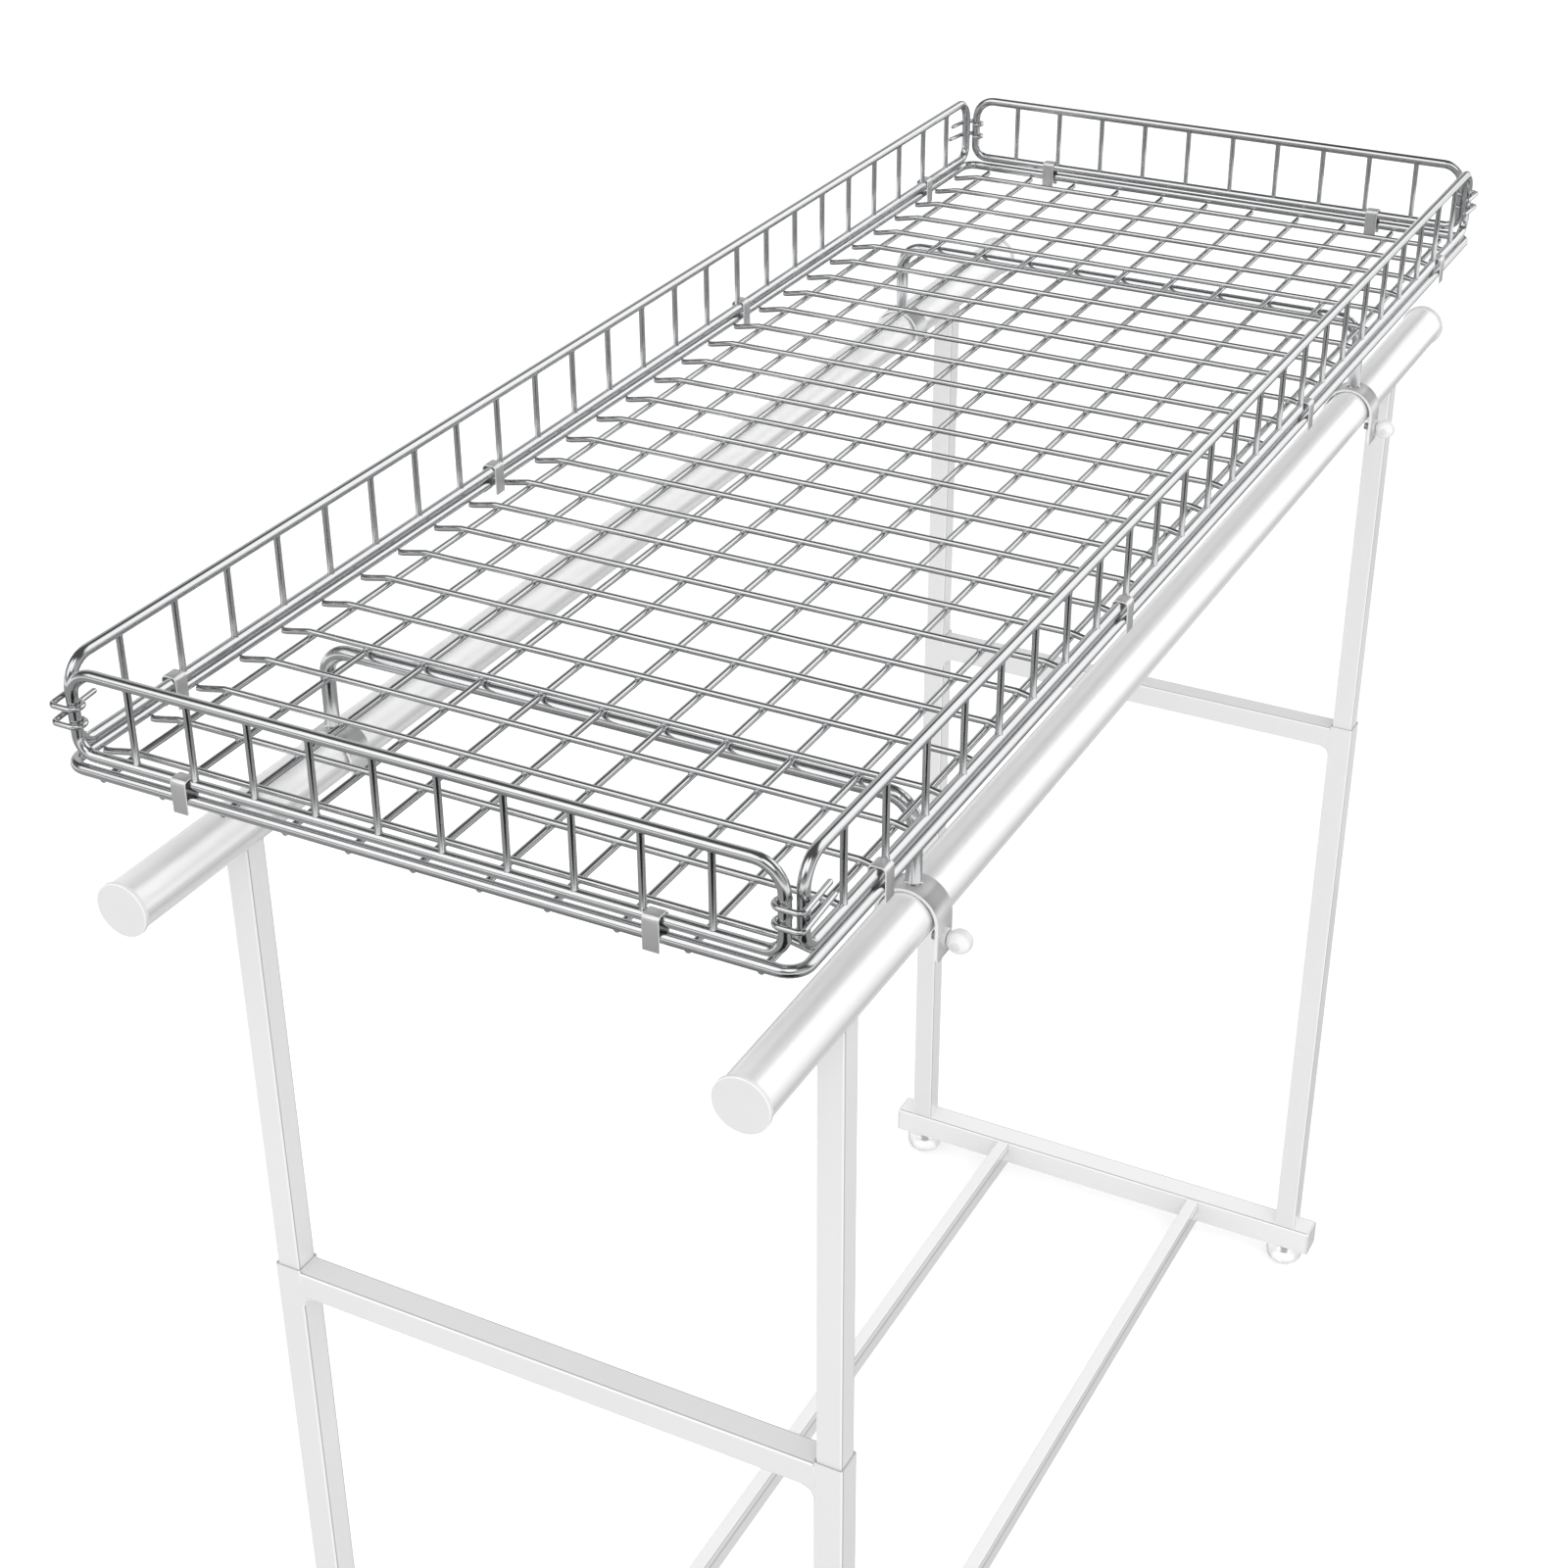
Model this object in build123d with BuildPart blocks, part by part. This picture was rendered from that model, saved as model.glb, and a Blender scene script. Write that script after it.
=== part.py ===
from build123d import *

import os
from math import sqrt

# Double-rail clothes rack that carries a wire basket on top.
# X runs across the rack, Y along the rails and Z up. The origin is on the floor, in the
# middle of the four feet. Every length is in millimetres.

# Layout of the rack
post_spacing_x = 398.0
post_spacing_y = 1017.0
foot_height = 20.0
crossbar_top_height = 611.0
rail_axis_height = 951.0
rail_to_panel_wire = 91.2

# Base bars and their end plugs
base_bar_size = 25.4
base_bar_wall = 1.5
base_bar_corner = 2.2
base_bar_length = 446.0
end_plug_lip = 2.0
end_plug_depth = 12.0
end_plug_wall = 2.0

# Posts and crossbars
lower_post_size = 20.0
lower_post_wall = 1.2
lower_post_corner = 1.8
lower_post_lip = 2.0
upper_post_clearance = 0.1
upper_post_wall = 1.2
upper_post_corner = 1.6
upper_post_insertion = 80.0
stop_plug_length = 18.0
stop_plug_bore = 9.0

# Stretchers between the base bars
stretcher_spacing = 208.0
stretcher_width = 12.0
stretcher_wall = 1.0
stretcher_corner = 1.5
stretcher_insert_length = 25.0
bolt_radius = 3.0
bolt_hole_clearance = 0.2
bolt_engagement = 20.0
bolt_head_radius = 5.6
bolt_head_height = 3.3
bolt_socket_across_flats = 4.0
bolt_socket_depth = 2.0
thread_clearance = 0.05

# Hanging rails
rail_radius = 16.0
rail_wall = 1.2
rail_length = 1232.0
rail_cap_lip_radius = 17.4
rail_cap_lip_thickness = 3.0
rail_cap_lip_round = 0.9
rail_cap_plug_depth = 14.0
rail_cap_plug_wall = 2.2
rail_stub_length = 40.0
rail_stub_wall = 1.2
rail_stub_corner = 0.8
rail_stub_clearance = 0.1

# Levelling feet
foot_rest_gap = 0.3
foot_sole_radius = 11.0
foot_belly_radius = 17.5
foot_neck_radius = 16.2
foot_belly_height = 12.5
foot_stud_radius = 4.0
foot_stud_depth_in_pad = 12.0
foot_stud_above_bar_wall = 20.0
foot_stud_hole_clearance = 0.5
foot_stud_chamfer = 0.8
foot_nut_across_flats = 13.0
foot_nut_height = 6.5

# Basket wires
frame_wire_radius = 3.5
picket_wire_radius = 2.05
grid_wire_radius = 2.05
weld_sink = 0.4

# Basket side panels
panel_height = 53.3
panel_top_corner = 17.0
panel_bottom_corner = 11.0
end_panel_plane = 609.2
side_panel_plane = 226.8
end_panel_width = 440.0
end_picket_count = 10
end_picket_pitch = 40.0
side_panel_length = 1205.0
side_picket_count = 24
side_picket_pitch = 48.6

# Basket floor grid
rim_outboard = 2.2
rim_drop = 7.0
rim_corner = 12.0
long_wire_count = 11
long_wire_pitch = 41.3
long_wire_overhang = 0.5
cross_wire_count = 29
cross_wire_pitch = 41.6
cross_wire_overhang = 0.5
cross_wire_dip_flat = 4.0
cross_wire_dip_run = 18.0
cross_wire_dip_bend = 12.0

# Hooks that lock the basket corners
hook_wire_radius = 1.7
hook_bend = 3.0
hook_stub = 1.5
lower_hook_height = 20.4
lower_hook_tail = 36.4
lower_hook_rise = 3.0
upper_hook_height = 31.4
upper_hook_tail = 31.4
upper_hook_rise = 2.0

# Clips that hold the panels on the floor grid
clip_sheet = 0.9
clip_width = 10.0
clip_bend = 2.4
clip_picket_gap = 0.4
clip_flange_below_rim = 4.4
end_clip_picket = 2
side_clip_pickets = (2, 9)

# Supports between basket and rails
support_y = 413.0
support_rod_radius = 4.8
support_rod_bend = 18.0
saddle_sheet = 2.0
saddle_width = 20.0
saddle_arch_radius = 18.0
saddle_rest_gap = 0.3
saddle_outer_leg = 26.0
saddle_inner_leg = 10.0
saddle_outer_corner = 3.5
saddle_inner_corner = 3.5
boss_radius = 6.0
boss_thickness = 2.2

# Thumb screws
screw_radius = 3.0
screw_drop = 13.5
screw_tip_gap = 0.3
screw_clearance = 0.05
screw_tip_chamfer = 0.5
knob_radius = 7.5
knob_gap = 0.6
knob_socket_depth = 6.0
knob_collar_radius = 4.4
knob_collar_length = 0.5

# Length that every cut runs on past the wall that it opens
overrun = 5.0

# Heights and places worked out from the sizes above
post_x = post_spacing_x / 2
post_y = post_spacing_y / 2
base_bar_bore = base_bar_size - 2 * base_bar_wall
base_bar_bore_corner = base_bar_corner - base_bar_wall
base_bar_mid = foot_height + base_bar_size / 2
base_bar_top = foot_height + base_bar_size
lower_post_bore = lower_post_size - 2 * lower_post_wall
lower_post_bore_corner = lower_post_corner - lower_post_wall
upper_post_size = lower_post_bore - 2 * upper_post_clearance
upper_post_bore = upper_post_size - 2 * upper_post_wall
upper_post_foot = crossbar_top_height - upper_post_insertion
panel_wire_height = rail_axis_height + rail_to_panel_wire
rim_x = side_panel_plane + rim_outboard
rim_y = end_panel_plane + rim_outboard
rim_height = panel_wire_height - rim_drop
long_wire_height = rim_height - frame_wire_radius - grid_wire_radius + weld_sink
cross_wire_height = long_wire_height + 2 * grid_wire_radius - weld_sink
support_rod_height = long_wire_height - grid_wire_radius - support_rod_radius
saddle_axis_height = rail_axis_height + rail_radius + saddle_rest_gap - saddle_arch_radius
saddle_outer_radius = saddle_arch_radius + saddle_sheet
screw_height = rail_axis_height - screw_drop

# The signs of the two ends along Y, of the two sides along X and of the four corners
ends = (("front", -1), ("back", 1))
sides = (("left", -1), ("right", 1))
corners = [(f"{end}_{side}", right, back) for end, back in ends for side, right in sides]

os.makedirs("parts", exist_ok=True)


def save(piece, label):
    """Names a finished piece and writes its STEP file."""
    piece.part.label = label
    export_step(piece.part, f"parts/{label}.step")


def across(y):
    """Upright plane across the rack at a place along it, with X to the right and Z up."""
    return Plane.XZ.offset(-y)


def along(x):
    """Upright plane along the rack at a place across it, with Y to the right and Z up."""
    return Plane.YZ.offset(x)


def square_to(path):
    """Plane square to the start of a wire's path."""
    return Plane(origin=path @ 0, z_dir=path % 0)


def evenly(count, pitch):
    """Places of evenly spaced wires about the middle."""
    return [(index - (count - 1) / 2) * pitch for index in range(count)]


def at_sides(reach_x, v):
    """The two places that lie a reach to the left and to the right of the middle."""
    return Locations(*[(right * reach_x, v) for _, right in sides])


def square_tube(size, corner, wall):
    """Section of a square tube with rounded corners, about the place that is set."""
    RectangleRounded(size, size, corner)
    RectangleRounded(size - 2 * wall, size - 2 * wall, corner - wall, mode=Mode.SUBTRACT)


# Base bars: square tubes that lie across the rack and carry everything
for end, back in ends:
    with BuildPart() as base_bar:
        with BuildSketch(along(-base_bar_length / 2)):
            with Locations((back * post_y, base_bar_mid)):
                square_tube(base_bar_size, base_bar_corner, base_bar_wall)
        extrude(amount=base_bar_length)
        with BuildSketch(across(back * post_y)):
            with at_sides(stretcher_spacing / 2, base_bar_mid):
                Circle(bolt_radius + bolt_hole_clearance)
        extrude(amount=base_bar_size / 2 + overrun, both=True, mode=Mode.SUBTRACT)
        with BuildSketch(Plane.XY.offset(base_bar_mid)):
            with at_sides(post_x, back * post_y):
                Circle(foot_stud_radius + foot_stud_hole_clearance)
        extrude(amount=-base_bar_size / 2 - overrun, mode=Mode.SUBTRACT)
    save(base_bar, f"base_bar_{end}")

# End plugs: moulded caps that close both ends of each base bar
with BuildPart() as end_plugs:
    for _, right, back in corners:
        bar_end = along(right * base_bar_length / 2)
        with BuildSketch(bar_end):
            with Locations((back * post_y, base_bar_mid)):
                RectangleRounded(base_bar_size, base_bar_size, base_bar_corner)
        extrude(amount=right * end_plug_lip)
        with BuildSketch(bar_end):
            with Locations((back * post_y, base_bar_mid)):
                RectangleRounded(base_bar_bore, base_bar_bore, base_bar_bore_corner)
                end_plug_bore = base_bar_bore - 2 * end_plug_wall
                Rectangle(end_plug_bore, end_plug_bore, mode=Mode.SUBTRACT)
        extrude(amount=-right * end_plug_depth)
save(end_plugs, "base_bar_end_plugs")

# Foot nuts: hexagon nuts welded inside the base bars for the levelling studs
with BuildPart() as foot_nuts:
    with BuildSketch(Plane.XY.offset(foot_height + base_bar_wall)):
        with Locations(*[(right * post_x, back * post_y) for _, right, back in corners]):
            RegularPolygon(foot_nut_across_flats / 2, 6, major_radius=False)
            Circle(foot_stud_radius + thread_clearance, mode=Mode.SUBTRACT)
    extrude(amount=foot_nut_height)
save(foot_nuts, "foot_weld_nuts")

# Lower posts: square tubes that stand on the base bars
for corner, right, back in corners:
    with BuildPart() as lower_post:
        with BuildSketch(Plane.XY.offset(base_bar_top)):
            with Locations((right * post_x, back * post_y)):
                square_tube(lower_post_size, lower_post_corner, lower_post_wall)
        extrude(amount=crossbar_top_height + lower_post_lip - base_bar_top)
    save(lower_post, f"lower_post_{corner}")

# Crossbars: tubes that tie the tops of the two lower posts of each end frame
crossbar_length = post_spacing_x - lower_post_size
for end, back in ends:
    with BuildPart() as crossbar:
        with BuildSketch(along(-crossbar_length / 2)):
            with Locations((back * post_y, crossbar_top_height - lower_post_size / 2)):
                square_tube(lower_post_size, lower_post_corner, lower_post_wall)
        extrude(amount=crossbar_length)
    save(crossbar, f"crossbar_{end}")

# Stop plugs: blocks inside the lower posts that the upper posts stand on
with BuildPart() as stop_plugs:
    with BuildSketch(Plane.XY.offset(upper_post_foot)):
        with Locations(*[(right * post_x, back * post_y) for _, right, back in corners]):
            RectangleRounded(lower_post_bore, lower_post_bore, lower_post_bore_corner)
            Circle(stop_plug_bore / 2, mode=Mode.SUBTRACT)
    extrude(amount=-stop_plug_length)
save(stop_plugs, "post_stop_plugs")

# Upper posts: narrower tubes, pushed into the lower posts and notched round the rails
for corner, right, back in corners:
    with BuildPart() as upper_post:
        with BuildSketch(Plane.XY.offset(upper_post_foot)):
            with Locations((right * post_x, back * post_y)):
                square_tube(upper_post_size, upper_post_corner, upper_post_wall)
        extrude(amount=rail_axis_height - upper_post_foot)
        with BuildSketch(across(back * post_y)):
            with Locations((right * post_x, rail_axis_height)):
                Circle(rail_radius)
        extrude(amount=upper_post_size / 2 + overrun, both=True, mode=Mode.SUBTRACT)
    save(upper_post, f"upper_post_{corner}")

# Stretchers: flat tubes that tie the two base bars together
stretcher_length = post_spacing_y - base_bar_size
stretcher_bore = (stretcher_width - 2 * stretcher_wall, base_bar_size - 2 * stretcher_wall)
stretcher_bore_corner = stretcher_corner - stretcher_wall
for side, right in sides:
    with BuildPart() as stretcher:
        with BuildSketch(across(0)):
            with Locations((right * stretcher_spacing / 2, base_bar_mid)):
                RectangleRounded(stretcher_width, base_bar_size, stretcher_corner)
                RectangleRounded(*stretcher_bore, stretcher_bore_corner, mode=Mode.SUBTRACT)
        extrude(amount=stretcher_length / 2, both=True)
    save(stretcher, f"stretcher_{side}")

# Stretcher inserts: tapped blocks inside the stretcher ends
with BuildPart() as stretcher_inserts:
    for _, back in ends:
        with BuildSketch(across(back * stretcher_length / 2)):
            with at_sides(stretcher_spacing / 2, base_bar_mid):
                RectangleRounded(*stretcher_bore, stretcher_bore_corner)
                Circle(bolt_radius + thread_clearance, mode=Mode.SUBTRACT)
        extrude(amount=back * stretcher_insert_length)
save(stretcher_inserts, "stretcher_inserts")

# Stretcher bolts: button-head bolts through the base bars into the inserts
head_seat = post_y + base_bar_size / 2
bolt_end = head_seat - base_bar_size - bolt_engagement
with BuildPart() as stretcher_bolts:
    for _, right, back in corners:
        bolt_x = right * stretcher_spacing / 2
        with BuildSketch(Plane.XY.offset(base_bar_mid)):
            with BuildLine():
                Polyline(
                    (bolt_x, back * (head_seat + bolt_head_height)),
                    (bolt_x, back * bolt_end),
                    (bolt_x + bolt_radius, back * bolt_end),
                    (bolt_x + bolt_radius, back * head_seat),
                    (bolt_x + bolt_head_radius, back * head_seat),
                )
                Bezier(
                    (bolt_x + bolt_head_radius, back * head_seat),
                    (bolt_x + bolt_head_radius, back * (head_seat + bolt_head_height)),
                    (bolt_x, back * (head_seat + bolt_head_height)),
                )
            make_face()
        revolve(axis=Axis((bolt_x, 0, base_bar_mid), (0, 1, 0)))
    for _, back in ends:
        with BuildSketch(across(back * (head_seat + bolt_head_height))):
            with at_sides(stretcher_spacing / 2, base_bar_mid):
                RegularPolygon(bolt_socket_across_flats / 2, 6, major_radius=False)
        extrude(amount=back * bolt_socket_depth, mode=Mode.SUBTRACT)
save(stretcher_bolts, "stretcher_bolts")

# Hanging rails: round tubes that lie on the posts and overhang both ends
for side, right in sides:
    with BuildPart() as rail:
        with BuildSketch(across(0)):
            with Locations((right * post_x, rail_axis_height)):
                Circle(rail_radius)
                Circle(rail_radius - rail_wall, mode=Mode.SUBTRACT)
        extrude(amount=rail_length / 2, both=True)
    save(rail, f"rail_{side}")

# Rail stubs: short square tubes under the rails that drop into the upper posts
with BuildPart() as rail_stubs:
    stub_size = upper_post_bore - 2 * rail_stub_clearance
    with BuildSketch(Plane.XY.offset(rail_axis_height - rail_radius - rail_stub_length)):
        with Locations(*[(right * post_x, back * post_y) for _, right, back in corners]):
            square_tube(stub_size, rail_stub_corner + rail_stub_wall, rail_stub_wall)
    extrude(amount=rail_stub_length + rail_radius)
    with BuildSketch(across(0)):
        with at_sides(post_x, rail_axis_height):
            Circle(rail_radius)
    extrude(amount=rail_length / 2, both=True, mode=Mode.SUBTRACT)
save(rail_stubs, "rail_stubs")

# Rail end caps: discs with a raised lip, plugged into the rail ends
cap_plug_radius = rail_radius - rail_wall
for side, right in sides:
    with BuildPart() as rail_caps:
        for _, back in ends:
            rail_end = across(back * rail_length / 2)
            with BuildSketch(rail_end):
                with Locations((right * post_x, rail_axis_height)):
                    Circle(rail_cap_lip_radius)
            extrude(amount=-back * rail_cap_lip_thickness)
            rims = rail_caps.edges().filter_by(GeomType.CIRCLE).group_by(Axis.Y)
            fillet(rims[-1] if back > 0 else rims[0], rail_cap_lip_round)
            with BuildSketch(rail_end):
                with Locations((right * post_x, rail_axis_height)):
                    Circle(cap_plug_radius)
                    Circle(cap_plug_radius - rail_cap_plug_wall, mode=Mode.SUBTRACT)
            extrude(amount=back * rail_cap_plug_depth)
    save(rail_caps, f"rail_end_caps_{side}")

# Levelling feet: bowl-shaped pads moulded round threaded studs
foot_top = foot_height - foot_rest_gap
stud_bottom = foot_height - foot_stud_depth_in_pad
stud_top = foot_height + base_bar_wall + foot_stud_above_bar_wall
for corner, right, back in corners:
    foot_x = right * post_x
    foot_y = back * post_y
    with BuildPart() as foot_pad:
        with BuildSketch(across(foot_y)):
            with BuildLine():
                Polyline((foot_x, foot_top), (foot_x, 0), (foot_x + foot_sole_radius, 0))
                Bezier(
                    (foot_x + foot_sole_radius, 0),
                    (foot_x + foot_belly_radius, 0),
                    (foot_x + foot_belly_radius, foot_belly_height),
                )
                Bezier(
                    (foot_x + foot_belly_radius, foot_belly_height),
                    (foot_x + foot_belly_radius, foot_top),
                    (foot_x + foot_neck_radius, foot_top),
                )
                Line((foot_x + foot_neck_radius, foot_top), (foot_x, foot_top))
            make_face()
        revolve(axis=Axis((foot_x, foot_y, 0), (0, 0, 1)))
        with BuildSketch(Plane.XY.offset(stud_bottom)):
            with Locations((foot_x, foot_y)):
                Circle(foot_stud_radius)
        extrude(amount=foot_stud_depth_in_pad, mode=Mode.SUBTRACT)
    save(foot_pad, f"foot_pad_{corner}")

    with BuildPart() as foot_stud:
        with BuildSketch(Plane.XY.offset(stud_bottom)):
            with Locations((foot_x, foot_y)):
                Circle(foot_stud_radius)
        extrude(amount=stud_top - stud_bottom)
        chamfer(foot_stud.edges().group_by(Axis.Z)[-1], foot_stud_chamfer)
    save(foot_stud, f"foot_stud_{corner}")


def make_panel(plane, width, picket_places):
    """Panel of the basket: a bent loop of frame wire with upright pickets welded in."""
    with BuildSketch(plane) as outline:
        with Locations((0, panel_wire_height + panel_height / 2)):
            Rectangle(width, panel_height)
        fillet(outline.vertices().group_by(Axis.Y)[-1], panel_top_corner)
        fillet(outline.vertices().group_by(Axis.Y)[0], panel_bottom_corner)
    loop = outline.sketch.face().outer_wire()
    with BuildPart() as panel:
        with BuildSketch(square_to(loop)):
            Circle(frame_wire_radius)
        sweep(path=loop)
        with BuildSketch(Plane.XY.offset(panel_wire_height)):
            with Locations(*[plane.origin + plane.x_dir * place for place in picket_places]):
                Circle(picket_wire_radius)
        extrude(amount=panel_height)
    return panel


# Basket panels: four welded wire fences
end_pickets = evenly(end_picket_count, end_picket_pitch)
side_pickets = evenly(side_picket_count, side_picket_pitch)
for end, back in ends:
    end_panel = make_panel(across(back * end_panel_plane), end_panel_width, end_pickets)
    save(end_panel, f"basket_panel_{end}")
for side, right in sides:
    side_panel = make_panel(along(right * side_panel_plane), side_panel_length, side_pickets)
    save(side_panel, f"basket_panel_{side}")

# Basket floor: a rim wire with a grid of thinner wires welded under it
with BuildSketch(Plane.XY.offset(rim_height)) as rim_outline:
    RectangleRounded(2 * rim_x, 2 * rim_y, rim_corner)
rim_path = rim_outline.sketch.face().outer_wire()
cross_wire_end = rim_x + cross_wire_overhang
dip_end = rim_x - cross_wire_dip_flat
dip_start = dip_end - cross_wire_dip_run
long_wire_reach = rim_y + long_wire_overhang
with BuildPart() as basket_floor:
    with BuildSketch(square_to(rim_path)):
        Circle(frame_wire_radius)
    sweep(path=rim_path)
    with BuildSketch(across(0)):
        with Locations(*[(x, long_wire_height) for x in evenly(long_wire_count, long_wire_pitch)]):
            Circle(grid_wire_radius)
    extrude(amount=long_wire_reach, both=True)
    for y in evenly(cross_wire_count, cross_wire_pitch):
        with BuildLine(across(y)) as cross_path:
            FilletPolyline(
                (-cross_wire_end, long_wire_height),
                (-dip_end, long_wire_height),
                (-dip_start, cross_wire_height),
                (dip_start, cross_wire_height),
                (dip_end, long_wire_height),
                (cross_wire_end, long_wire_height),
                radius=cross_wire_dip_bend,
            )
        with BuildSketch(square_to(cross_path.line)):
            Circle(grid_wire_radius)
        sweep(path=cross_path.line)
save(basket_floor, "basket_floor_grid")

# Corner hooks: wires wrapped round the end panels' uprights that hold the side panels in
hook_offset = frame_wire_radius + hook_wire_radius
upright_x = end_panel_width / 2
hooks = (
    (lower_hook_height, lower_hook_tail, lower_hook_rise),
    (upper_hook_height, upper_hook_tail, upper_hook_rise),
)
for end, back in ends:
    hook_outer_y = back * (end_panel_plane + hook_offset)
    hook_inner_y = back * (end_panel_plane - hook_offset)
    with BuildPart() as corner_hooks:
        for _, right in sides:
            tail_x = right * (side_panel_plane + hook_offset)
            for height, tail, rise in hooks:
                z = panel_wire_height + height
                stub_end = (right * (upright_x + hook_stub), hook_inner_y, z)
                with BuildLine() as hook_path:
                    Line(stub_end, (right * upright_x, hook_inner_y, z))
                    ThreePointArc(
                        (right * upright_x, hook_inner_y, z),
                        (right * (upright_x - hook_offset), back * end_panel_plane, z),
                        (right * upright_x, hook_outer_y, z),
                    )
                    FilletPolyline(
                        (right * upright_x, hook_outer_y, z),
                        (tail_x, hook_outer_y, z),
                        (tail_x, hook_outer_y - back * tail, z + rise),
                        radius=hook_bend,
                    )
                with BuildSketch(square_to(hook_path.line)):
                    Circle(hook_wire_radius)
                sweep(path=hook_path.line)
                with Locations(hook_path.line @ 0, hook_path.line @ 1):
                    Sphere(hook_wire_radius)
    save(corner_hooks, f"corner_hooks_{end}")

# Panel clips: folded sheet channels over a panel's lower wire and the rim wire
clip_bore_width = rim_outboard + 2 * frame_wire_radius
clip_bore_top = panel_wire_height + frame_wire_radius
clip_bottom = rim_height - frame_wire_radius - clip_flange_below_rim
clip_reach = picket_wire_radius + clip_picket_gap + clip_width / 2


def clip_section(wire_place, outward):
    """Section of a clip: an upside-down channel that reaches outward over the rim wire."""
    inner_face = wire_place - outward * frame_wire_radius
    with BuildSketch() as section:
        with BuildLine():
            FilletPolyline(
                (inner_face, clip_bottom),
                (inner_face, clip_bore_top),
                (inner_face + outward * clip_bore_width, clip_bore_top),
                (inner_face + outward * clip_bore_width, clip_bottom),
                radius=clip_bend,
            )
            offset(amount=clip_sheet, side=Side.LEFT if outward > 0 else Side.RIGHT)
        make_face()
    return section.sketch


for end, back in ends:
    with BuildPart() as end_clips:
        for _, right in sides:
            with BuildSketch(along(right * (end_pickets[-end_clip_picket] + clip_reach))):
                add(clip_section(back * end_panel_plane, back))
            extrude(amount=clip_width / 2, both=True)
    save(end_clips, f"panel_clips_{end}")
for side, right in sides:
    with BuildPart() as side_clips:
        for picket in side_clip_pickets:
            for _, back in ends:
                with BuildSketch(across(back * (side_pickets[-picket] + clip_reach))):
                    add(clip_section(right * side_panel_plane, right))
                extrude(amount=clip_width / 2, both=True)
    save(side_clips, f"panel_clips_{side}")

# Support rods: thick bent rods under the floor grid that stand on the saddles
for end, back in ends:
    with BuildPart() as support_rod:
        with BuildLine(across(back * support_y)) as rod_path:
            FilletPolyline(
                (-post_x, saddle_axis_height),
                (-post_x, support_rod_height),
                (post_x, support_rod_height),
                (post_x, saddle_axis_height),
                radius=support_rod_bend,
            )
        with BuildSketch(square_to(rod_path.line)):
            Circle(support_rod_radius)
        sweep(path=rod_path.line)
        with BuildSketch(across(back * support_y)):
            with at_sides(post_x, saddle_axis_height):
                Circle(saddle_outer_radius)
        extrude(amount=saddle_width / 2, both=True, mode=Mode.SUBTRACT)
    save(support_rod, f"support_rod_{end}")

# Saddles: bent straps that sit over the rails, with a long outer leg for the screw
outer_leg_end = rail_axis_height - saddle_outer_leg
inner_leg_end = rail_axis_height - saddle_inner_leg
for corner, right, back in corners:
    with BuildPart() as saddle:
        outward = right * saddle_outer_radius
        with BuildSketch(across(back * support_y)):
            with BuildLine():
                outer_start = (right * post_x + outward, saddle_axis_height)
                inner_start = (right * post_x - outward, saddle_axis_height)
                Line((outer_start[0], outer_leg_end), outer_start)
                ThreePointArc(
                    outer_start,
                    (right * post_x, saddle_axis_height + saddle_outer_radius),
                    inner_start,
                )
                Line(inner_start, (inner_start[0], inner_leg_end))
                Line((inner_start[0], inner_leg_end), (inner_start[0] + right * saddle_sheet, inner_leg_end))
                Line(
                    (inner_start[0] + right * saddle_sheet, inner_leg_end),
                    (inner_start[0] + right * saddle_sheet, saddle_axis_height),
                )
                ThreePointArc(
                    (inner_start[0] + right * saddle_sheet, saddle_axis_height),
                    (right * post_x, saddle_axis_height + saddle_arch_radius),
                    (outer_start[0] - right * saddle_sheet, saddle_axis_height),
                )
                Polyline(
                    (outer_start[0] - right * saddle_sheet, saddle_axis_height),
                    (outer_start[0] - right * saddle_sheet, outer_leg_end),
                    (outer_start[0], outer_leg_end),
                )
            make_face()
        extrude(amount=saddle_width / 2, both=True)
        leg_edges = saddle.edges().filter_by(Axis.X).group_by(Axis.Z)
        fillet(leg_edges[0], saddle_outer_corner)
        inner_edges = saddle.edges().filter_by(Axis.X).sort_by(Axis.X)
        fillet(inner_edges[:2] if right > 0 else inner_edges[-2:], saddle_inner_corner)
        with BuildSketch(along(right * post_x)):
            with Locations((back * support_y, screw_height)):
                Circle(screw_radius + screw_clearance)
        extrude(amount=right * (saddle_outer_radius + overrun), mode=Mode.SUBTRACT)
    save(saddle, f"saddle_{corner}")

# Screw bosses: tapped collars welded on the outside of the saddles' long legs
with BuildPart() as bosses:
    for _, right, back in corners:
        with BuildSketch(along(right * (post_x + saddle_outer_radius))):
            with Locations((back * support_y, screw_height)):
                Circle(boss_radius)
                Circle(screw_radius + screw_clearance, mode=Mode.SUBTRACT)
        extrude(amount=right * boss_thickness)
save(bosses, "saddle_screw_bosses")

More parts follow.
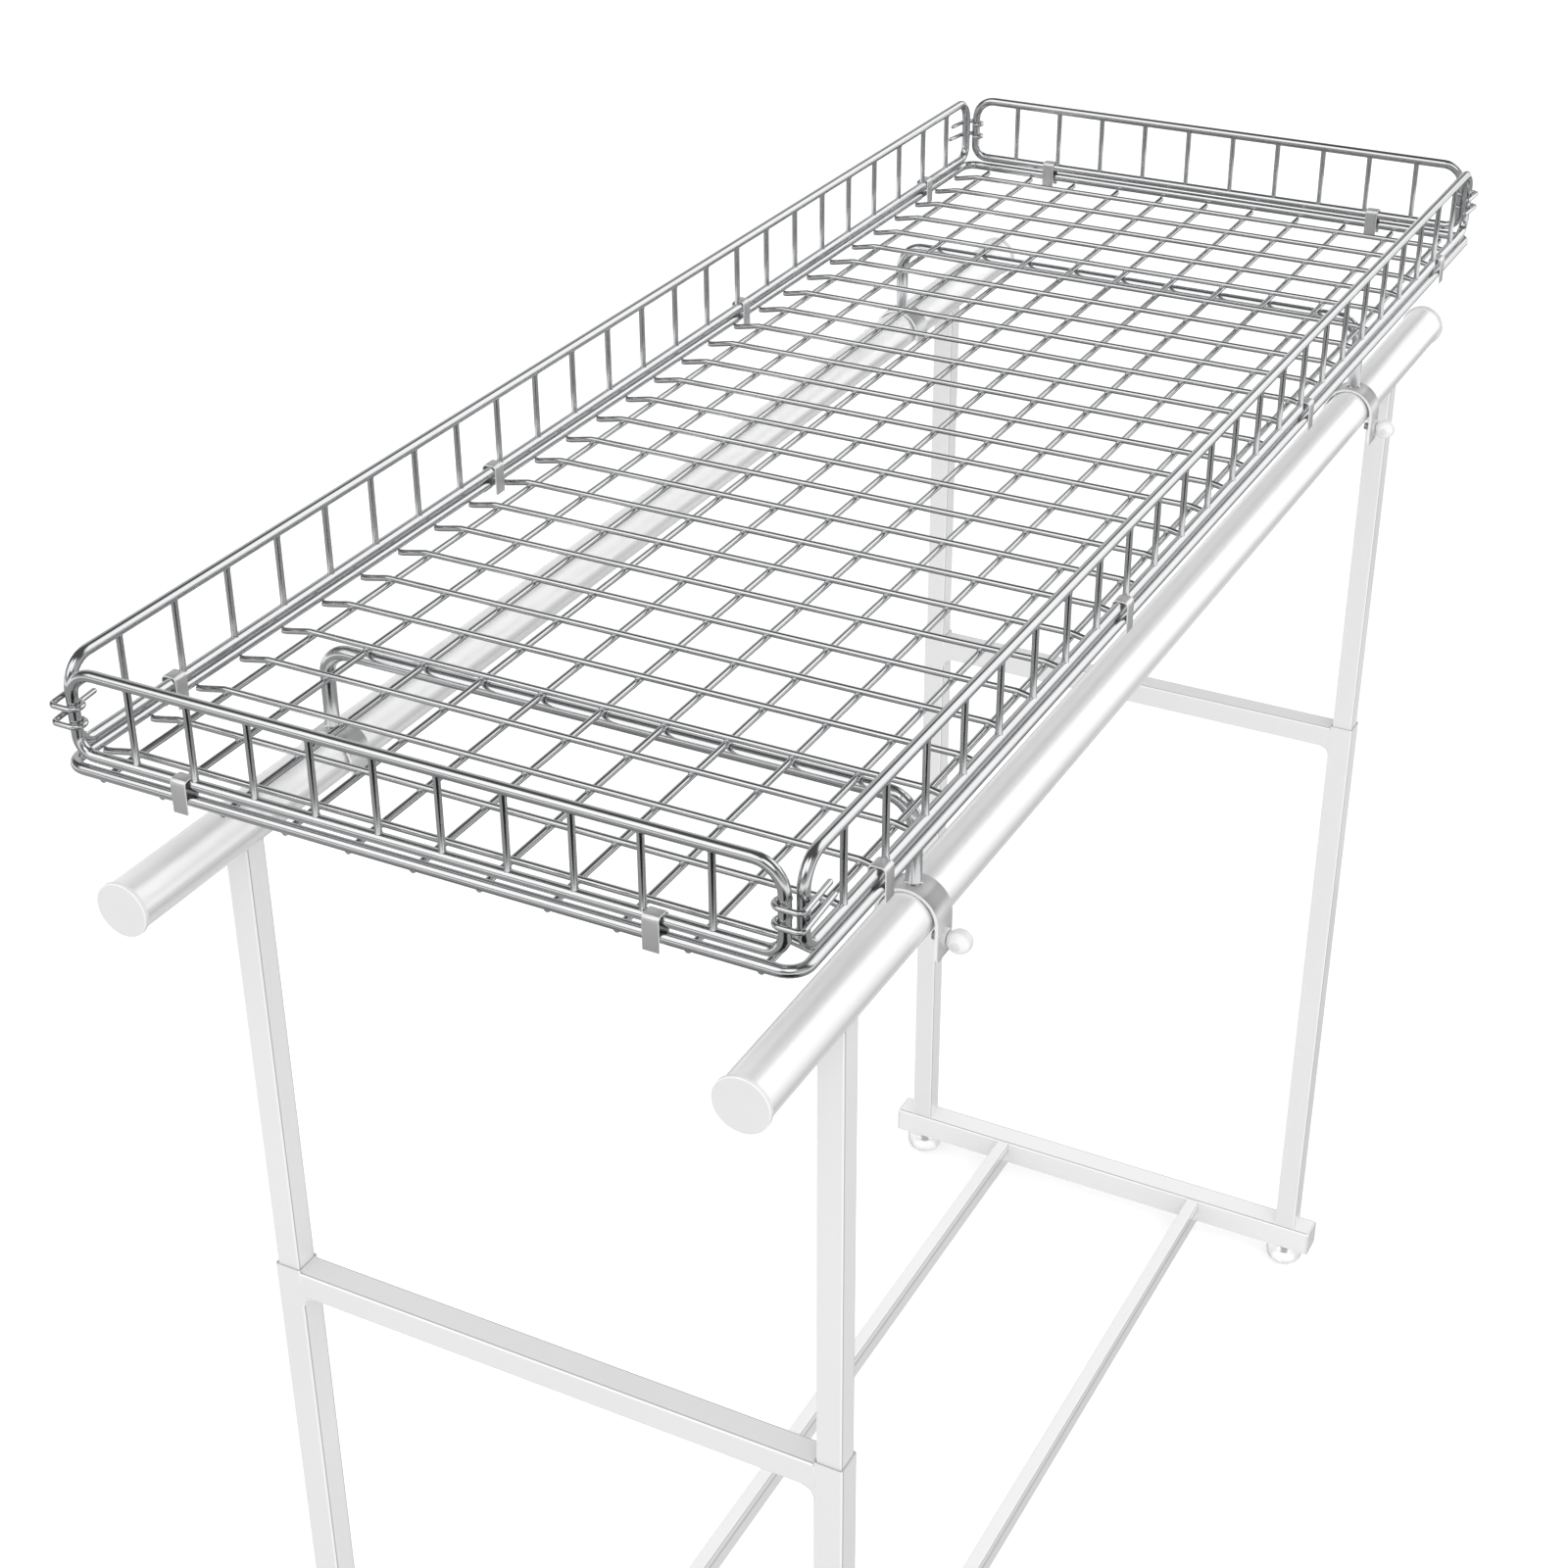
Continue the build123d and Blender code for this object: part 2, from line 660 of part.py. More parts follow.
# Thumb screws: threaded shanks with ball knobs that clamp the saddles to the rails
screw_tip = sqrt(rail_radius**2 - (screw_drop - screw_radius) ** 2) + screw_tip_gap
knob_start = saddle_outer_radius + boss_thickness + knob_gap
knob_back = sqrt(knob_radius**2 - knob_collar_radius**2)
knob_mid = knob_start + knob_collar_length + knob_back
for corner, right, back in corners:
    screw_y = back * support_y
    with BuildPart() as screw_shank:
        with BuildSketch(along(right * (post_x + screw_tip))):
            with Locations((screw_y, screw_height)):
                Circle(screw_radius)
        extrude(amount=right * (knob_start + knob_socket_depth - screw_tip))
        tip_edges = screw_shank.edges().group_by(Axis.X)
        chamfer(tip_edges[0] if right > 0 else tip_edges[-1], screw_tip_chamfer)
    save(screw_shank, f"screw_shank_{corner}")

    with BuildPart() as knob:
        with BuildSketch(Plane.XY.offset(screw_height)):
            with BuildLine():
                knob_x = right * (post_x + knob_mid)
                collar_x = right * (post_x + knob_start)
                collar_end = knob_x - right * knob_back
                Polyline(
                    (knob_x + right * knob_radius, screw_y),
                    (collar_x, screw_y),
                    (collar_x, screw_y + knob_collar_radius),
                    (collar_end, screw_y + knob_collar_radius),
                )
                ThreePointArc(
                    (collar_end, screw_y + knob_collar_radius),
                    (knob_x, screw_y + knob_radius),
                    (knob_x + right * knob_radius, screw_y),
                )
            make_face()
        revolve(axis=Axis((0, screw_y, screw_height), (1, 0, 0)))
        with BuildSketch(along(collar_x)):
            with Locations((screw_y, screw_height)):
                Circle(screw_radius)
        extrude(amount=right * knob_socket_depth, mode=Mode.SUBTRACT)
    save(knob, f"screw_knob_{corner}")
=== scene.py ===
import math

import bpy
from mathutils import Matrix, Vector


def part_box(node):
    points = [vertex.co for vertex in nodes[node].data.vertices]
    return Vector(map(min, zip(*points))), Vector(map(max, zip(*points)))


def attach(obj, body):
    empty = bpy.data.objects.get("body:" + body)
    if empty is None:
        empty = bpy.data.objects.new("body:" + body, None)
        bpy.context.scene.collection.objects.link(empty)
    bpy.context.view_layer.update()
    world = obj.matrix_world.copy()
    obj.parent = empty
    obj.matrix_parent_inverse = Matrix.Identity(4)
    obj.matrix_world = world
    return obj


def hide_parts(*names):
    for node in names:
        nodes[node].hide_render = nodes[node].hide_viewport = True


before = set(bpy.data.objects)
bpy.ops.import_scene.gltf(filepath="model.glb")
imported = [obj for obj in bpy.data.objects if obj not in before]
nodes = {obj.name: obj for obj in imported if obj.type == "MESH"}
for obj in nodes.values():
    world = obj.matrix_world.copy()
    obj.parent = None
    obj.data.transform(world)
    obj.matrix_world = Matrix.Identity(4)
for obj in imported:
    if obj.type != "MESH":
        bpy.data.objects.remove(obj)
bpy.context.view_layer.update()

# Camera: it stands to the right of the rack's front end, a little above eye height, and looks
# down on the basket with a short telephoto lens. The rack stands on the floor at the origin,
# with its rails along Y and its front towards -Y. Every length is in metres.
CAMERA_PLACE = Vector((0.7238, -1.5704, 1.7764))
CAMERA_TURN = math.radians(27.664)
CAMERA_FALL = math.radians(30.368)
CAMERA_TILT = math.radians(-0.351)
CAMERA_LENS = 61.43
CAMERA_FILM = 36.0
CAMERA_REACH = 100.0
forward = Vector((
    -math.sin(CAMERA_TURN) * math.cos(CAMERA_FALL),
    math.cos(CAMERA_TURN) * math.cos(CAMERA_FALL),
    -math.sin(CAMERA_FALL),
))
level_right = forward.cross(Vector((0, 0, 1))).normalized()
level_up = level_right.cross(forward)
right_hand = level_right * math.cos(CAMERA_TILT) + level_up * math.sin(CAMERA_TILT)
up = level_up * math.cos(CAMERA_TILT) - level_right * math.sin(CAMERA_TILT)
camera_data = bpy.data.cameras.new("camera")
camera_data.sensor_width = CAMERA_FILM
camera_data.lens = CAMERA_LENS
camera_data.clip_end = CAMERA_REACH
camera = bpy.data.objects.new("camera", camera_data)
camera.matrix_world = Matrix((
    (right_hand.x, up.x, -forward.x, CAMERA_PLACE.x),
    (right_hand.y, up.y, -forward.y, CAMERA_PLACE.y),
    (right_hand.z, up.z, -forward.z, CAMERA_PLACE.z),
    (0, 0, 0, 1),
))
bpy.context.scene.collection.objects.link(camera)
bpy.context.scene.camera = camera
bpy.context.scene.view_settings.view_transform = "Standard"

# Studio surround: an even white room lights the rack. Its dark ceiling and its soft boxes show
# only as reflections, and give the plated wires their dark and bright lines. Each soft box has
# a direction, a brightness, and the cosines of the angles where it ends and where it is full.
ROOM_LEVEL = 0.90
HORIZON_LEVEL = 0.50
CEILING_LEVEL = 0.10
CEILING_START = 0.02
CEILING_FULL = 0.40
SOFT_BOXES = (
    ((-0.40, -0.66, 0.62), 1.60, 0.86, 0.955),
    ((0.48, 0.76, 0.42), 1.50, 0.84, 0.945),
    ((0.90, -0.30, 0.30), 0.60, 0.86, 0.96),
    ((-0.62, 0.74, 0.26), 0.66, 0.84, 0.94),
)
PURE_WHITE = (1.0, 1.0, 1.0, 1)


class Value:
    """A shader's socket that takes part in sums, such as 1 - mask or height * 0.5."""

    def __init__(self, shader, socket):
        self.shader = shader
        self.socket = socket

    def sum_with(self, operation, first, second):
        """The Math node that works out one sum."""
        return self.shader.node("ShaderNodeMath", {"operation": operation}, {0: first, 1: second})

    def __add__(self, other):
        return self.sum_with("ADD", self, other)

    def __sub__(self, other):
        return self.sum_with("SUBTRACT", self, other)

    def __rsub__(self, other):
        return self.sum_with("SUBTRACT", other, self)

    def __mul__(self, other):
        return self.sum_with("MULTIPLY", self, other)

    __radd__ = __add__
    __rmul__ = __mul__

    def most(self, other):
        """The larger of two values."""
        return self.sum_with("MAXIMUM", self, other)

    def ramp(self, low, high):
        """0 below low, 1 above high, and a smooth rise between them."""
        return self.shader.node(
            "ShaderNodeMapRange",
            {"interpolation_type": "SMOOTHSTEP"},
            {"Value": self, "From Min": low, "From Max": high},
        )

    def band(self, low, high, fade, gone):
        """1 from high to fade, and 0 below low and above gone."""
        return self.ramp(low, high) * (1.0 - self.ramp(fade, gone))


class Shader:
    """The node tree of a material or of the world, built one node at a time."""

    def __init__(self, owner):
        owner.use_nodes = True
        self.owner = owner
        self.tree = owner.node_tree
        self.tree.nodes.clear()

    def node(self, kind, settings, inputs, out=0):
        """Any node, with its settings and its sockets' values or links. Gives one output."""
        made = self.tree.nodes.new(kind)
        for name, value in settings.items():
            setattr(made, name, value)
        for name, value in inputs.items():
            if isinstance(value, Value):
                self.tree.links.new(value.socket, made.inputs[name])
            else:
                made.inputs[name].default_value = value
        return Value(self, made.outputs[out])

    def place(self):
        """Where a point of the piece lies, in metres from the rack's own origin."""
        return self.node("ShaderNodeTexCoord", {}, {}, "Object")

    def facing(self):
        """Which way the surface faces, along the rack's own axes."""
        return self.node("ShaderNodeTexCoord", {}, {}, "Normal")

    def parts(self, vector):
        """The three numbers of a vector."""
        outputs = self.node("ShaderNodeSeparateXYZ", {}, {0: vector}).socket.node.outputs
        return [Value(self, outputs[axis]) for axis in range(3)]

    def squareness(self, axis):
        """How squarely the surface faces along an axis, either way, from 0 to 1."""
        along = self.parts(self.facing())[axis]
        return self.node("ShaderNodeMath", {"operation": "ABSOLUTE"}, {0: along})

    def noise(self, scale, detail, vector=None):
        """Cloudy patches, as many to the metre as the scale says."""
        return self.node(
            "ShaderNodeTexNoise",
            {},
            {"Vector": vector or self.place(), "Scale": scale, "Detail": detail},
        )

    def blend(self, factor, first, second):
        """Mixes two colours."""
        return self.node(
            "ShaderNodeMix", {"data_type": "RGBA"}, {0: factor, 6: first, 7: second}, 2
        )

    def bumps(self, height, distance, strength):
        """A normal that leans as if the surface rose by a height times a distance."""
        return self.node(
            "ShaderNodeBump", {}, {"Strength": strength, "Distance": distance, "Height": height}
        )

    def finish(self, surface, kind="ShaderNodeOutputMaterial"):
        """Links the surface to the tree's output, and gives the finished material or world."""
        end = self.tree.nodes.new(kind)
        self.tree.links.new(surface.socket, end.inputs["Surface"])
        return self.owner


world = bpy.data.worlds.new("studio")
bpy.context.scene.world = world
studio = Shader(world)
look = studio.node("ShaderNodeTexCoord", {}, {}, "Generated")
look_up = studio.parts(look)[2]
level = HORIZON_LEVEL - look_up.ramp(CEILING_START, CEILING_FULL) * (HORIZON_LEVEL - CEILING_LEVEL)
for direction, brightness, outer, inner in SOFT_BOXES:
    aim = Vector(direction).normalized()
    toward = studio.node(
        "ShaderNodeVectorMath", {"operation": "DOT_PRODUCT"}, {0: look, 1: aim}, "Value"
    )
    box_mask = toward.ramp(outer, inner)
    level = level * (1.0 - box_mask) + box_mask * brightness
seen = studio.node("ShaderNodeLightPath", {}, {}, "Is Camera Ray")
seen_by = seen.socket.node.outputs
glossy = Value(studio, seen_by["Is Glossy Ray"])
seen = seen + Value(studio, seen_by["Is Transmission Ray"])
strength = seen + glossy * level + (1.0 - seen - glossy) * ROOM_LEVEL
studio.finish(
    studio.node("ShaderNodeBackground", {}, {"Color": PURE_WHITE, "Strength": strength}),
    "ShaderNodeOutputWorld",
)

# Studio floor: one wide sheet of matt white paper, which keeps the rack's soft shadow. It
# glows a little to the camera, and in gloss and clear plastic, so that it looks white there.
FLOOR_SIZE = 60.0
FLOOR_DEEP = (0.86, 0.86, 0.86, 1)
FLOOR_PALE = (0.88, 0.88, 0.88, 1)
FLOOR_GLOW = 0.30
bpy.ops.object.select_all(action="DESELECT")
bpy.ops.mesh.primitive_plane_add(size=FLOOR_SIZE, location=(0, 0, 0))
floor = bpy.context.object
floor.name = "studio_floor"
paper = Shader(bpy.data.materials.new("studio floor"))
sheet = paper.node(
    "ShaderNodeBsdfDiffuse",
    {},
    {"Color": paper.blend(paper.noise(scale=3.0, detail=3.0), FLOOR_DEEP, FLOOR_PALE)},
)
seen = paper.node("ShaderNodeLightPath", {}, {}, "Is Camera Ray")
seen_by = seen.socket.node.outputs
for ray in ("Is Glossy Ray", "Is Transmission Ray"):
    seen = seen + Value(paper, seen_by[ray])
glow = paper.node("ShaderNodeEmission", {}, {"Color": PURE_WHITE, "Strength": seen * FLOOR_GLOW})
floor.data.materials.append(
    paper.finish(paper.node("ShaderNodeAddShader", {}, {0: sheet, 1: glow}))
)

# Dark cards: they lie on the studio floor, and show only in the plating, as the dark lines
# down its wires. Each has a name, a place, a size, a turn in degrees, and a shade.
CARDS = (
    ("card_wide", (-0.4, -0.2, 0.002), (7.0, 8.0), 0.0, 0.42),
    ("card_under", (0.0, 0.0, 0.004), (1.5, 2.4), 0.0, 0.20),
    ("card_front", (1.05, -2.05, 0.006), (1.5, 2.4), 27.0, 0.02),
    ("card_behind", (-1.0, 2.1, 0.008), (3.4, 1.6), 27.0, 0.18),
)
for name, spot, size, turn, shade in CARDS:
    bpy.ops.mesh.primitive_plane_add(size=1.0, location=spot, rotation=(0, 0, math.radians(turn)))
    card = bpy.context.object
    card.name = name
    card.scale = (*size, 1)
    matt = Shader(bpy.data.materials.new(name))
    card.data.materials.append(
        matt.finish(matt.node("ShaderNodeEmission", {}, {"Color": (shade, shade, shade, 1)}))
    )
    card.visible_camera = False
    card.visible_diffuse = False
    card.visible_shadow = False
    card.visible_transmission = False
    card.visible_volume_scatter = False

# Key light: a weak and very soft sun, high over the rack's front right corner, which gives
# the tubes' sides their different greys.
SUN_STRENGTH = 0.55
SUN_SOFTNESS = math.radians(40)
SUN_LEAN = (math.radians(34), math.radians(24), 0)
lamp_data = bpy.data.lights.new("key", "SUN")
lamp_data.energy = SUN_STRENGTH
lamp_data.angle = SUN_SOFTNESS
lamp = bpy.data.objects.new("key", lamp_data)
lamp.rotation_euler = SUN_LEAN
bpy.context.scene.collection.objects.link(lamp)

# Base bars: mild steel square tubes across the rack, one at each end, with the posts welded on
# top. Like the whole frame they have a glossy white powder coat with a faint orange peel. A
# painted highlight whitens it over the rolled corners, and a grey line of painted reflection runs
# beside them.
ENDS = (("front", -1), ("back", 1))
PAINTED_COAT_GREY = (0.50, 0.50, 0.505, 1)
PEEL_DEPTH = 0.00004


def paint(names, material):
    """Gives CAD pieces their finish."""
    for name in names:
        for material_slot in nodes[name].material_slots:
            material_slot.material = material


def powder_coat(name, deep, pale, painted_line_strength, painted_top_strength):
    """White coat between two tones, with a painted highlight over its corners, painted grey
    reflection lines beside them and painted shade on level tops.
    """
    coat = Shader(bpy.data.materials.new(name))
    patches = coat.noise(scale=7.0, detail=3.0)
    peel = coat.noise(scale=520.0, detail=1.0)
    across, along, upright = [coat.squareness(axis) for axis in range(3)]
    # Painted highlight over the rounded corners, painted reflection lines beside them, painted
    # shade on level tops.
    painted_corner_highlight = (across * along + along * upright + across * upright).ramp(0.22, 0.42)
    painted_reflection_lines = across.band(0.80, 0.86, 0.994, 0.9995).most(upright.band(0.80, 0.86, 0.994, 0.9995))
    painted_top_shade = coat.parts(coat.facing())[2].ramp(0.95, 0.99)
    white = coat.blend(patches, (deep, deep, deep, 1), (pale, pale, pale, 1))
    return coat.finish(
        coat.node(
            "ShaderNodeBsdfPrincipled",
            {},
            {
                "Base Color": coat.blend(
                    (painted_reflection_lines * painted_line_strength).most(painted_top_shade * painted_top_strength),
                    coat.blend(painted_corner_highlight, white, PURE_WHITE),
                    PAINTED_COAT_GREY,
                ),
                "Roughness": 0.30 + patches * 0.12,
                "Normal": coat.bumps(peel, PEEL_DEPTH, 0.5),
                "Coat Weight": 0.35,
                "Coat Roughness": 0.12,
            },
        )
    )


base_bar_coat = powder_coat("white base bar coat", 0.93, 0.96, painted_line_strength=1.0, painted_top_strength=0.0)
paint([f"base_bar_{end}" for end, _ in ENDS], base_bar_coat)

# End plugs: square plugs moulded in pale plastic and pressed into the base bars' open ends.
# The moulding is a little glossy, and a painted highlight makes its rounded rims whiter than its
# flat faces.
PLASTIC_DEEP = (0.82, 0.82, 0.825, 1)
PLASTIC_PALE = (0.86, 0.86, 0.86, 1)
PAINTED_RIM_WHITE = (0.99, 0.99, 0.99, 1)
moulded = Shader(bpy.data.materials.new("pale moulding"))
flow = moulded.noise(scale=60.0, detail=3.0)
# Painted highlight: the rounded rims are blended towards white.
painted_rim_highlight = moulded.squareness(1).band(0.25, 0.5, 0.88, 0.97)
pale_moulding = moulded.finish(
    moulded.node(
        "ShaderNodeBsdfPrincipled",
        {},
        {
            "Base Color": moulded.blend(
                painted_rim_highlight, moulded.blend(flow, PLASTIC_DEEP, PLASTIC_PALE), PAINTED_RIM_WHITE
            ),
            "Roughness": 0.28 + flow * 0.1,
            "Coat Weight": 0.3,
            "Coat Roughness": 0.2,
        },
    )
)
paint(["base_bar_end_plugs"], pale_moulding)

# Posts and crossbars: square steel tubes in the white coat. Two lower posts and a crossbar are
# welded into a frame on each base bar, and a narrower upper post is pushed into each lower
# post, where it stands on a plastic stop plug. Their level tops get painted shade, most of all the
# posts'.
SIDES = (("left", -1), ("right", 1))
CORNERS = [(f"{end}_{side}", right, back) for end, back in ENDS for side, right in SIDES]
post_coat = powder_coat("white powder coat", 0.865, 0.895, painted_line_strength=1.0, painted_top_strength=0.9)
paint(
    [f"{piece}_{corner}" for piece in ("lower_post", "upper_post") for corner, _, _ in CORNERS],
    post_coat,
)
crossbar_coat = powder_coat("white crossbar coat", 0.865, 0.895, painted_line_strength=1.0, painted_top_strength=0.27)
paint([f"crossbar_{end}" for end, _ in ENDS], crossbar_coat)
paint(["post_stop_plugs"], pale_moulding)

# Corner fillets: small concave webs welded between each crossbar and its two posts. The weld
# runs up the joint too, and is ground flush with the tubes before they are coated together.
# Web and weld lie at two depths just under the tubes' faces, so that no two faces coincide.
FILLET_RADIUS = 0.008
FILLET_SIDES = 64
FILLET_EDGE = 0.0006
FILLET_SHARP_EDGE = 30.0
FILLET_SMOOTHING = 40.0
EDGE_STEPS = 2
WELD_OVERLAP = 0.0026
WELD_ROOT = 0.0004
WELD_SHOULDER = 0.0020
WEB_BELOW_FACE = 0.00008
BEAD_BELOW_FACE = 0.00004


def start_block(name, low, high):
    """A block between two opposite corners."""
    middle = (Vector(low) + Vector(high)) / 2
    size = [abs(upper - lower) for lower, upper in zip(low, high)]
    bpy.ops.object.select_all(action="DESELECT")
    bpy.ops.mesh.primitive_cube_add(size=1.0, location=middle, scale=size)
    block = bpy.context.object
    block.name = name
    return block


def soften(piece, width, sharp_edge):
    """Bevels the edges that turn by more than an angle in degrees."""
    soft = piece.modifiers.new("soft", "BEVEL")
    soft.width = width
    soft.segments = EDGE_STEPS
    soft.angle_limit = math.radians(sharp_edge)
    bpy.context.view_layer.objects.active = piece
    bpy.ops.object.modifier_apply(modifier="soft")


def joined(pieces, name):
    """Joins pieces into one object and names it."""
    bpy.ops.object.select_all(action="DESELECT")
    for piece in pieces:
        piece.select_set(True)
    bpy.context.view_layer.objects.active = pieces[0]
    bpy.ops.object.join()
    pieces[0].name = name
    return pieces[0]


# The welds' coat keeps the painted corner highlight, but has no painted lines or tops.
ground_coat = powder_coat("white coat on ground welds", 0.865, 0.895, painted_line_strength=0.0, painted_top_strength=0.0)
for end, _ in ENDS:
    bar_low, bar_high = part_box(f"crossbar_{end}")
    for side, right in SIDES:
        low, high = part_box(f"lower_post_{end}_{side}")
        face = low.x if right > 0 else high.x
        bead = start_block(
            f"joint_weld_{end}_{side}",
            (face - right * WELD_ROOT, low.y + BEAD_BELOW_FACE, bar_low.z),
            (face + right * WELD_OVERLAP, high.y - BEAD_BELOW_FACE, bar_high.z - WELD_SHOULDER),
        )
        front, rear = low.y + WEB_BELOW_FACE, high.y - WEB_BELOW_FACE
        web = start_block(
            f"corner_web_{end}_{side}",
            (face - right * FILLET_RADIUS, front, bar_low.z - FILLET_RADIUS),
            (face + right * WELD_OVERLAP, rear, bar_low.z + WELD_OVERLAP),
        )
        bpy.ops.mesh.primitive_cylinder_add(
            vertices=FILLET_SIDES,
            radius=FILLET_RADIUS,
            depth=2 * (rear - front),
            location=(face - right * FILLET_RADIUS, (front + rear) / 2, bar_low.z - FILLET_RADIUS),
            rotation=(math.radians(90), 0, 0),
        )
        cutter = bpy.context.object
        hollow = web.modifiers.new("hollow", "BOOLEAN")
        hollow.operation = "DIFFERENCE"
        hollow.object = cutter
        bpy.context.view_layer.objects.active = web
        bpy.ops.object.modifier_apply(modifier="hollow")
        bpy.data.objects.remove(cutter)
        soften(web, FILLET_EDGE, FILLET_SHARP_EDGE)
        soften(bead, FILLET_EDGE, FILLET_SHARP_EDGE)
        fillet = joined([web, bead], f"corner_fillet_{end}_{side}")
        bpy.ops.object.transform_apply(location=True, rotation=True, scale=True)
        bpy.ops.object.shade_smooth_by_angle(angle=math.radians(FILLET_SMOOTHING))
        fillet.data.materials.append(ground_coat)
        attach(fillet, "frame")

# Foot studs and their nuts: turned steel with bright zinc plating. The nuts are welded inside
# the base bars, and each stud screws up through its nut, so that the rack can be levelled.
ZINC_DEEP = (0.66, 0.66, 0.65, 1)
ZINC_PALE = (0.76, 0.76, 0.75, 1)
zinc = Shader(bpy.data.materials.new("bright zinc"))
mottle = zinc.noise(scale=160.0, detail=3.0)
bright_zinc = zinc.finish(
    zinc.node(
        "ShaderNodeBsdfPrincipled",
        {},
        {
            "Base Color": zinc.blend(mottle, ZINC_DEEP, ZINC_PALE),
            "Metallic": 1.0,
            "Roughness": 0.25 + mottle * 0.15,
        },
    )
)
paint(["foot_weld_nuts"] + [f"foot_stud_{corner}" for corner, _, _ in CORNERS], bright_zinc)

# Foot pads: bowl-shaped pads of milky clear plastic, moulded round the studs, so that the stud
# shows as a grey core. Each has a rolled rim, a belly and a flat sole. The rings give a height
# and a radius.
FOOT_SIDES = 48
FOOT_SMOOTHING = 60.0
FOOT_RINGS = (
    (0.0000, 0.0098),
    (0.0003, 0.0112),
    (0.0015, 0.0133),
    (0.0035, 0.0152),
    (0.0060, 0.0166),
    (0.0090, 0.01735),
    (0.0125, 0.0175),
    (0.0160, 0.0172),
    (0.0182, 0.0167),
    (0.0192, 0.0164),
    (0.0197, 0.0158),
    (0.0197, 0.0060),
    (0.0189, 0.0052),
    (0.0189, 0.0043),
)
MILK_DEEP = (0.94, 0.94, 0.94, 1)
MILK_PALE = (0.98, 0.98, 0.98, 1)
SAME_POINT = 0.000002
SHARP_EDGE = 50.0


def start_section(name, sides, radius, spot, heading):
    """A ring of points square to its heading, left selected in edit mode to be drawn on."""
    bpy.ops.object.select_all(action="DESELECT")
    tilt = Vector((0, 0, 1)).rotation_difference(Vector(heading)).to_euler()
    bpy.ops.mesh.primitive_circle_add(
        vertices=sides, radius=radius, fill_type="NOTHING", location=spot, rotation=tilt
    )
    piece = bpy.context.object
    piece.name = name
    bpy.ops.object.transform_apply(location=True, rotation=True, scale=True)
    bpy.ops.object.mode_set(mode="EDIT")
    bpy.ops.mesh.select_all(action="SELECT")
    return piece


def draw(shift):
    """Extrudes the selected ring on by a shift."""
    bpy.ops.mesh.extrude_region_move(TRANSFORM_OT_translate={"value": shift})


def turned(name, sides, spot, axis, rings):
    """A turned piece: a circle is drawn on along its axis and resized ring by ring."""
    spot = Vector(spot)
    axis = Vector(axis)
    reach, radius = rings[0]
    piece = start_section(name, sides, radius, spot + axis * reach, axis)
    for next_reach, next_radius in rings[1:]:
        draw(axis * (next_reach - reach))
        bpy.ops.transform.resize(
            value=(next_radius / radius,) * 3, center_override=spot + axis * next_reach
        )
        reach, radius = next_reach, next_radius
    return piece


def close_piece(piece, smoothing=40.0, edge=0.0):
    """Closes the open ends, turns the faces outward, leaves edit mode and rounds the edges."""
    bpy.ops.mesh.select_all(action="SELECT")
    bpy.ops.mesh.remove_doubles(threshold=SAME_POINT)
    bpy.ops.mesh.fill_holes(sides=0)
    bpy.ops.mesh.normals_make_consistent(inside=False)
    bpy.ops.object.mode_set(mode="OBJECT")
    if edge:
        soften(piece, edge, SHARP_EDGE)
    bpy.ops.object.shade_smooth_by_angle(angle=math.radians(smoothing))
    return piece


milk = Shader(bpy.data.materials.new("milky clear plastic"))
haze = milk.noise(scale=90.0, detail=2.0)
milky = milk.finish(
    milk.node(
        "ShaderNodeBsdfPrincipled",
        {},
        {
            "Base Color": milk.blend(haze, MILK_DEEP, MILK_PALE),
            "Roughness": 0.30 + haze * 0.08,
            "Transmission Weight": 0.70,
            "IOR": 1.14,
            "Coat Weight": 0.25,
            "Coat Roughness": 0.2,
        },
    )
)
for corner, _, _ in CORNERS:
    low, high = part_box(f"foot_pad_{corner}")
    centre = ((low.x + high.x) / 2, (low.y + high.y) / 2, 0)
    pad = turned(f"foot_bowl_{corner}", FOOT_SIDES, centre, (0, 0, 1), FOOT_RINGS)
    close_piece(pad, FOOT_SMOOTHING)
    pad.data.materials.append(milky)
    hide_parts(f"foot_pad_{corner}")
    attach(pad, f"foot_{corner}")

# Stretchers: flat tubes with the same white coat, rolled with shallow lines along their tall
# sides. Grey stripes of painted shade run below the top edge along these lines, with bright ones
# between. Each stripe starts and ends at a depth below the top, and has its own strength.
STRETCHER_TOP = 0.0454
SIDE_STRIPES = ((0.0006, 0.0024, 0.50), (0.0068, 0.0112, 0.45), (0.0112, 0.0250, 0.10))
STRIPE_SOFTNESS = 0.0008
STRIPE_DEPTH = 0.0004
PAINTED_GROOVE_SHADE = (0.3, 0.3, 0.305, 1)
FILM_DEEP = (0.93, 0.93, 0.93, 1)
FILM_PALE = (0.96, 0.96, 0.96, 1)
ribbed = Shader(bpy.data.materials.new("ribbed white coat"))
below_top = STRETCHER_TOP - ribbed.parts(ribbed.place())[2]
grooves_and_shade = None
